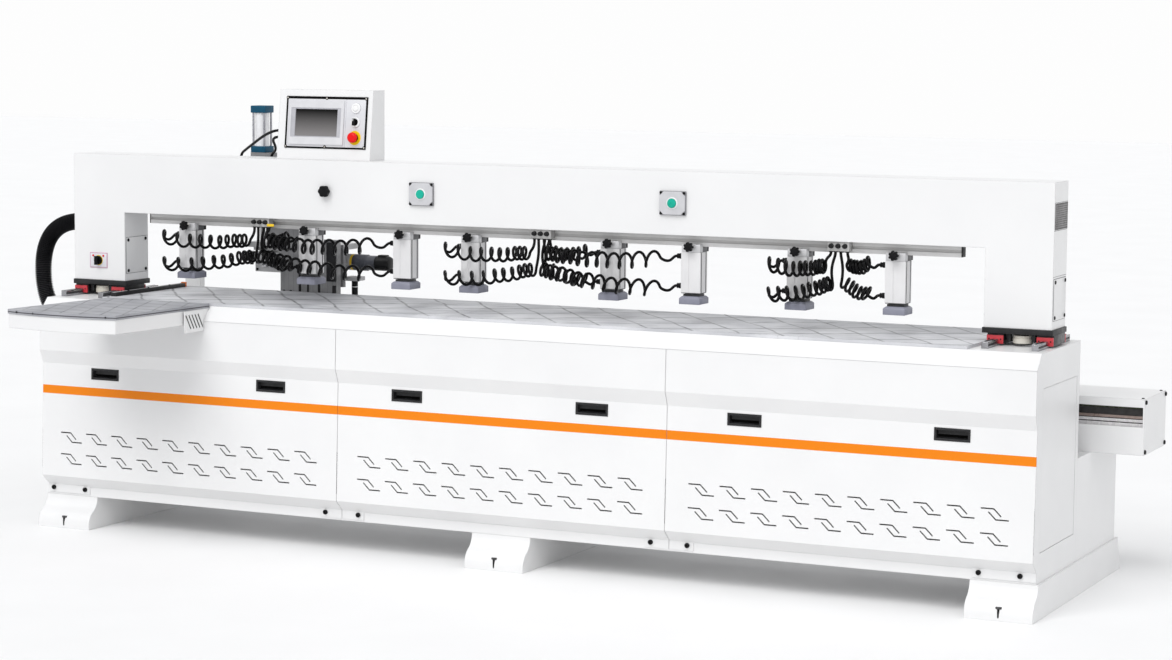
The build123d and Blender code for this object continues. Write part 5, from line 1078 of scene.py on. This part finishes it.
# Spindles: two ground shanks with stepped chucks, each with one dowel bit that has a brad point.
# The left one is turned, and the right one is a copy of it.
spindle_x = (-1.326, -1.294)
spindle_rear = 0.2
spindle_z = 0.955
spindle_steps = ((0, 9.2), (1, 10), (60.8, 10), (61.2, 12.4), (62.5, 13), (70, 13), (71.2, 11.8), (76, 11.8),
    (77.2, 13), (79.5, 13), (80.8, 11.8), (81, 4), (99, 4), (99.5, 1.4), (100.9, 0.4))
spindle = turned(rod_steel, (spindle_x[0], spindle_rear, spindle_z), front, spindle_steps)
spread(spindle, spindle_x, "spindle_{}", "rail_steel", "spindle_{}", "{}_spindle", labels=hands)

# Coil hoses: glossy black polyurethane air lines, wound into springs so that each clamp can slide along its rail.
# Every clamp has two. They hang from a supply block under the beam and push into the fittings of the clamp's cylinder.
hose_radius = 0.005
points_per_turn = 14
hose_lead = 0.008
hose_sag = 0.013
hose_stray = 0.003
hose_uneven = 0.07
front_lane = -0.33
fitting_reach = 0.061
# For each clamp: its supply block, and the lane that its hoses take.
clamp_lanes = ((0, "left"), (0, "near"), (0, "far"), (1, "left"), (1, "near"), (1, "far"), (2, "left"), (2, "near"))
# For each lane: the turns, the first turn's share of the mean pitch, and the coil's radius at its start and end.
lane_winding = {"left": (10, 0.36, 0.0215, 0.024), "near": (6, 0.95, 0.0205, 0.0215), "far": (12, 0.36, 0.0225, 0.0265)}
# How a hose goes from its last turn into the fitting: shares of that way, and how far it strays there.
turns_back = ((0.08, (-0.006, 0.001, -0.009)), (0.26, (0.000, 0.002, -0.016)), (0.55, (-0.004, 0, -0.014)),
    (0.8, (-0.006, 0, -0.006)))
runs_on = ((0.22, (0.004, 0, -0.01)), (0.55, (0, 0, -0.013)), (0.8, (-0.004, 0, -0.005)))
hose_black = surface("hose_black", 0.002, (0.006, 0.007), (0.16, 0.3), 30, 0.03, 300, shine=0.09)


def line_points(curve):
    """The points of a curve's own smooth line."""
    mesh = bpy.data.meshes.new_from_object(curve)
    points = [vertex.co.copy() for vertex in mesh.vertices]
    bpy.data.meshes.remove(mesh)
    return points


def line_length(line):
    return sum((b - a).length for a, b in zip(line, line[1:]))


def smooth_curve(name, route, resolution):
    """A curve object whose smooth line has a route's points as its control points."""
    data = bpy.data.curves.new(name, "CURVE")
    data.dimensions = "3D"
    data.resolution_u = resolution
    spline = data.splines.new("NURBS")
    spline.points.add(len(route) - 1)
    for point, place in zip(spline.points, route):
        point.co = (*place, 1)
    spline.order_u = 3
    spline.use_endpoint_u = True
    curve = bpy.data.objects.new(name, data)
    bpy.context.collection.objects.link(curve)
    return curve


def cord_tube(name, route, radius, material, resolution=3):
    """A round tube on the smooth line of a route, and that line's points."""
    tube = smooth_curve(name, route, resolution)
    line = line_points(tube)
    tube.data.bevel_depth = radius
    tube.data.bevel_resolution = 3
    tube.data.use_fill_caps = True
    only(tube)
    bpy.ops.object.convert(target="MESH")
    tube = bpy.context.object
    tube.data.materials.clear()
    tube.data.materials.append(material)
    bpy.ops.object.shade_smooth()
    return tube, line


def coil_route(start, centre, end, first, far, winding, unrest, tail):
    """Straight out of the block, then a spring that opens towards the clamp, then in a bow into the fitting."""
    turns, tight, first_radius, last_radius = winding
    reach = (end - centre).length
    axis = (end - centre).normalized()
    low = (axis * up.dot(axis) - up).normalized()
    side = (first - axis * first.dot(axis)).normalized()
    steps = turns * points_per_turn
    top = start - up * hose_lead
    foot = centre + side * first_radius
    bow = Vector((math.copysign(0.007, math.sin(unrest)), -0.005, 0))
    route = [start, top]
    route += [top.lerp(foot, share) + bow * math.sin(math.pi * share) for share in (0.25, 0.5, 0.75)]
    for k in range(steps + 1):
        share = k / steps
        angle = 2 * math.pi * turns * share
        along = tight * share + (1 - tight) * share ** 2
        radius = first_radius + (last_radius - first_radius) * share
        radius *= 1 + hose_uneven * math.sin(0.71 * angle + unrest)
        sag = up * (-hose_sag * math.sin(math.pi * along))
        stray = side * hose_stray * math.sin(0.37 * angle + unrest) * math.sin(math.pi * share)
        ring = (side * math.cos(angle) + low * math.sin(angle)) * radius
        route.append(centre + axis * reach * along + ring + sag + stray)
    last = route[-1]
    route += [last.lerp(far, share) + Vector(stray) for share, stray in tail]
    return route + [far - right * hose_lead, far]


def hose_ends(x, block_x, lane, upper):
    """Where a hose starts, the line that its coil is wound on, its first turn's side, and where it ends."""
    fitting_z = upper_fitting_z if upper else lower_fitting_z
    far = Vector((x - fitting_reach, clamp_y, fitting_z))
    low = supply_z[0] - (0.044 if upper else 0.1)
    if lane == "near":
        return (Vector((block_x + (0.024 if upper else 0), supply_rear, supply_z[0])),
                Vector((block_x + (0.024 if upper else 0.008), clamp_y, low + 0.004)),
                Vector((far.x - 0.04, clamp_y, fitting_z + 0.004)), front, far)
    hand = -1 if lane == "left" else 1
    return (Vector((block_x + hand * (0.028 if upper else 0.012), supply_front, supply_z[0])),
            Vector((block_x + hand * (0.04 if upper else 0.016), front_lane, low)),
            Vector((far.x - (0.032 if lane == "left" else 0.048), front_lane, fitting_z - 0.008)), -front, far)


for number, (x, (supply, lane)) in enumerate(zip(clamp_x, clamp_lanes), start=1):
    for level, upper in (("upper", True), ("lower", False)):
        start, centre, end, first, far = hose_ends(x, supply_x[supply], lane, upper)
        unrest = 1.7 * number + (0.6 if upper else 0.0)
        tail = turns_back if lane == "left" else runs_on
        route = coil_route(start, centre, end, first, far, lane_winding[lane], unrest, tail)
        hose, line = cord_tube(f"hose_{number}_{level}", route, hose_radius, hose_black)
        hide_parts("coil_hoses")
        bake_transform(hose)

# Ribbed conduit: a black corrugated hose that carries the cables and air lines from the left column down into the bed.
# One corrugation is drawn out of a ring, repeated along the hose and bent round its route.
conduit_y = -0.237
conduit_route = [(x, conduit_y, z) for x, z in ((-1.9, 1.119), (-2.087, 1.119), (-2.087, 0.735), (-1.915, 0.735))]
conduit_radius = 0.0315
groove_radius = 0.0275
conduit_sides = 40
conduit_ribs = 84
conduit_black = surface("conduit_black", (0.002, 0.003), (0.006, 0.007), (0.4, 0.56), 18, 0.08, 220, shine=0.1)
crest_highlight = surface("crest_highlight", (0.075, 0.08), (0.14, 0.15), (0.28, 0.42), 18, 0.08, 220)

route_curve = smooth_curve("conduit_route", conduit_route, 24)
conduit_line = line_points(route_curve)
rib_pitch = line_length(conduit_line) / conduit_ribs
conduit = fresh(bpy.ops.mesh.primitive_circle_add, vertices=conduit_sides, radius=groove_radius,
    rotation=(0, math.pi / 2, 0))
conduit.name = "conduit"
opened()
rib_growth = conduit_radius / groove_radius
rib_steps = ((0.28, 1.0), (0.16, rib_growth), (0.4, 1.0), (0.16, 1 / rib_growth))
for length, growth in rib_steps:
    drawn(length * rib_pitch, 0, 0)
    bpy.ops.transform.resize(value=(1, growth, growth))
bpy.ops.object.mode_set(mode="OBJECT")
ribs = conduit.modifiers.new("ribs", "ARRAY")
ribs.count = conduit_ribs
ribs.use_merge_vertices = True
bent = conduit.modifiers.new("bent", "CURVE")
bent.object = route_curve
bpy.ops.object.modifier_apply(modifier="ribs")
bpy.ops.object.modifier_apply(modifier="bent")
opened()
bpy.ops.mesh.remove_doubles(threshold=0.0001)
closed()
painted(conduit, conduit_black)
# Painted highlight: the crests of the ribs are painted a paler grey than the black hose.
faces_painted(conduit, crest_highlight, lambda face, c: face.index // conduit_sides % len(rib_steps) == 2)
bpy.data.objects.remove(route_curve)
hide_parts("cable_conduit")
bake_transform(conduit)

# Control cables: two black round cables from glands in the left side of the control box. They slant down behind the
# beam and go into it through glands in its rear face.
cable_radius = 0.005
box_left = -1.024
box_cable_y = -0.215
beam_rear = -0.162
behind = -0.062
low_gland_z = 1.3
gland_length = 0.018
cable_lead = 0.04
cable_ends = ((-1.312, 1.48), (-1.18, 1.456))
gland_steps = ((0, 9.5), (1, 10.3), (8, 10.3), (9, 8.8), (12, 8.8), (18, 6.2))
cable_black = surface("cable_black", (0.004, 0.0045), (0.012, 0.013), (0.34, 0.52), 40, 0.05, 350, shine=0.08)
glands = []
for number, (exit_x, gland_z) in enumerate(cable_ends, start=1):
    start = Vector((box_left - gland_length, box_cable_y, gland_z))
    route = (start, start - right * cable_lead, (exit_x + 0.05, behind - 0.033, 1.404), (exit_x, behind, 1.38),
        (exit_x, behind, low_gland_z), (exit_x, beam_rear + gland_length, low_gland_z))
    cable, line = cord_tube(f"control_cable_{number}", route, cable_radius, cable_black, resolution=12)
    settled(cable, f"control_cable_{number}", "black_rubber", "gantry", "control_cables")
    glands += [
        turned(cable_black, (box_left, box_cable_y, gland_z), -right, gland_steps, 6),
        turned(cable_black, (exit_x, beam_rear, low_gland_z), -front, gland_steps, 6),
    ]
settled(glands, "cable_glands", "black_plastic", "gantry", "control_cables")

# Head cable: the loom that feeds the drill unit, in a black braided sleeve, held by one white tie. It stands between
# two lugs.
sleeve_x = -0.96
sleeve_y = 0.18
sleeve_radius = 0.0118
sleeve_black = surface("sleeve_black", (0.004, 0.005), (0.016, 0.018), (0.45, 0.65), 60, 0.4, 500, shine=0.15)
tie_white = surface("tie_white", 0.66, 0.76, (0.35, 0.5), 40, 0.05, 900)
sleeve_route = [Vector((sleeve_x, sleeve_y, z)) for z in (0.705, 0.745, 0.785, 0.825, 0.865, 0.905)]
sleeve, line = cord_tube("cable_sleeve", sleeve_route, sleeve_radius, sleeve_black, resolution=8)
tie = turned(tie_white, (sleeve_x, sleeve_y, 0.879), up, ((0, 11.2), (0.3, 12.4), (4.2, 12.4), (4.5, 11.2)))
sleeve = joined(sleeve, tie)
settled(sleeve, "cable_sleeve", "black_rubber", "head", "head_cable")
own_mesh(sleeve)

# Floor and light: a pale floor under a white background, a large soft lamp overhead and to the left, and a weak one
# from the right. What the camera, gloss and glass see of the background is plain white.
floor = fresh(bpy.ops.mesh.primitive_plane_add, size=80)
floor.name = "floor"
floor_white = surface("floor_white", 0.88, 0.9, (0.6, 0.75), 2, 0.01, 20)
floor.data.materials.append(floor_white)
world = bpy.data.worlds.new("studio")
bpy.context.scene.world = world
world.use_nodes = True
lit = world.node_tree.nodes["Background"]
lit.inputs["Color"].default_value = (0.97, 0.98, 1.0, 1)
lit.inputs["Strength"].default_value = 0.62
seen = step(world, "Background", {"Color": (1, 1, 1, 1), "Strength": 0.985})["Background"]
rays = step(world, "LightPath", {})
any_ray = reckoned(world, "MAXIMUM", rays["Is Camera Ray"], rays["Is Glossy Ray"])
any_view = reckoned(world, "MAXIMUM", any_ray, rays["Is Transmission Ray"])
choice = step(world, "MixShader", {"Fac": any_view, 1: lit.outputs["Background"], 2: seen})["Shader"]
world.node_tree.links.new(choice, world.node_tree.nodes["World Output"].inputs["Surface"])
for name, strength, spread_angle, tip, swing in (("key", 1.64, 40, 42, -8), ("fill", 0.52, 70, 60, 60)):
    lamp = fresh(bpy.ops.object.light_add, type="SUN", location=(0, -4, 6))
    lamp.name = name
    lamp.data.energy = strength
    lamp.data.angle = math.radians(spread_angle)
    lamp.rotation_euler = (math.radians(tip), 0, math.radians(swing))
bpy.context.scene.view_settings.view_transform = "Standard"
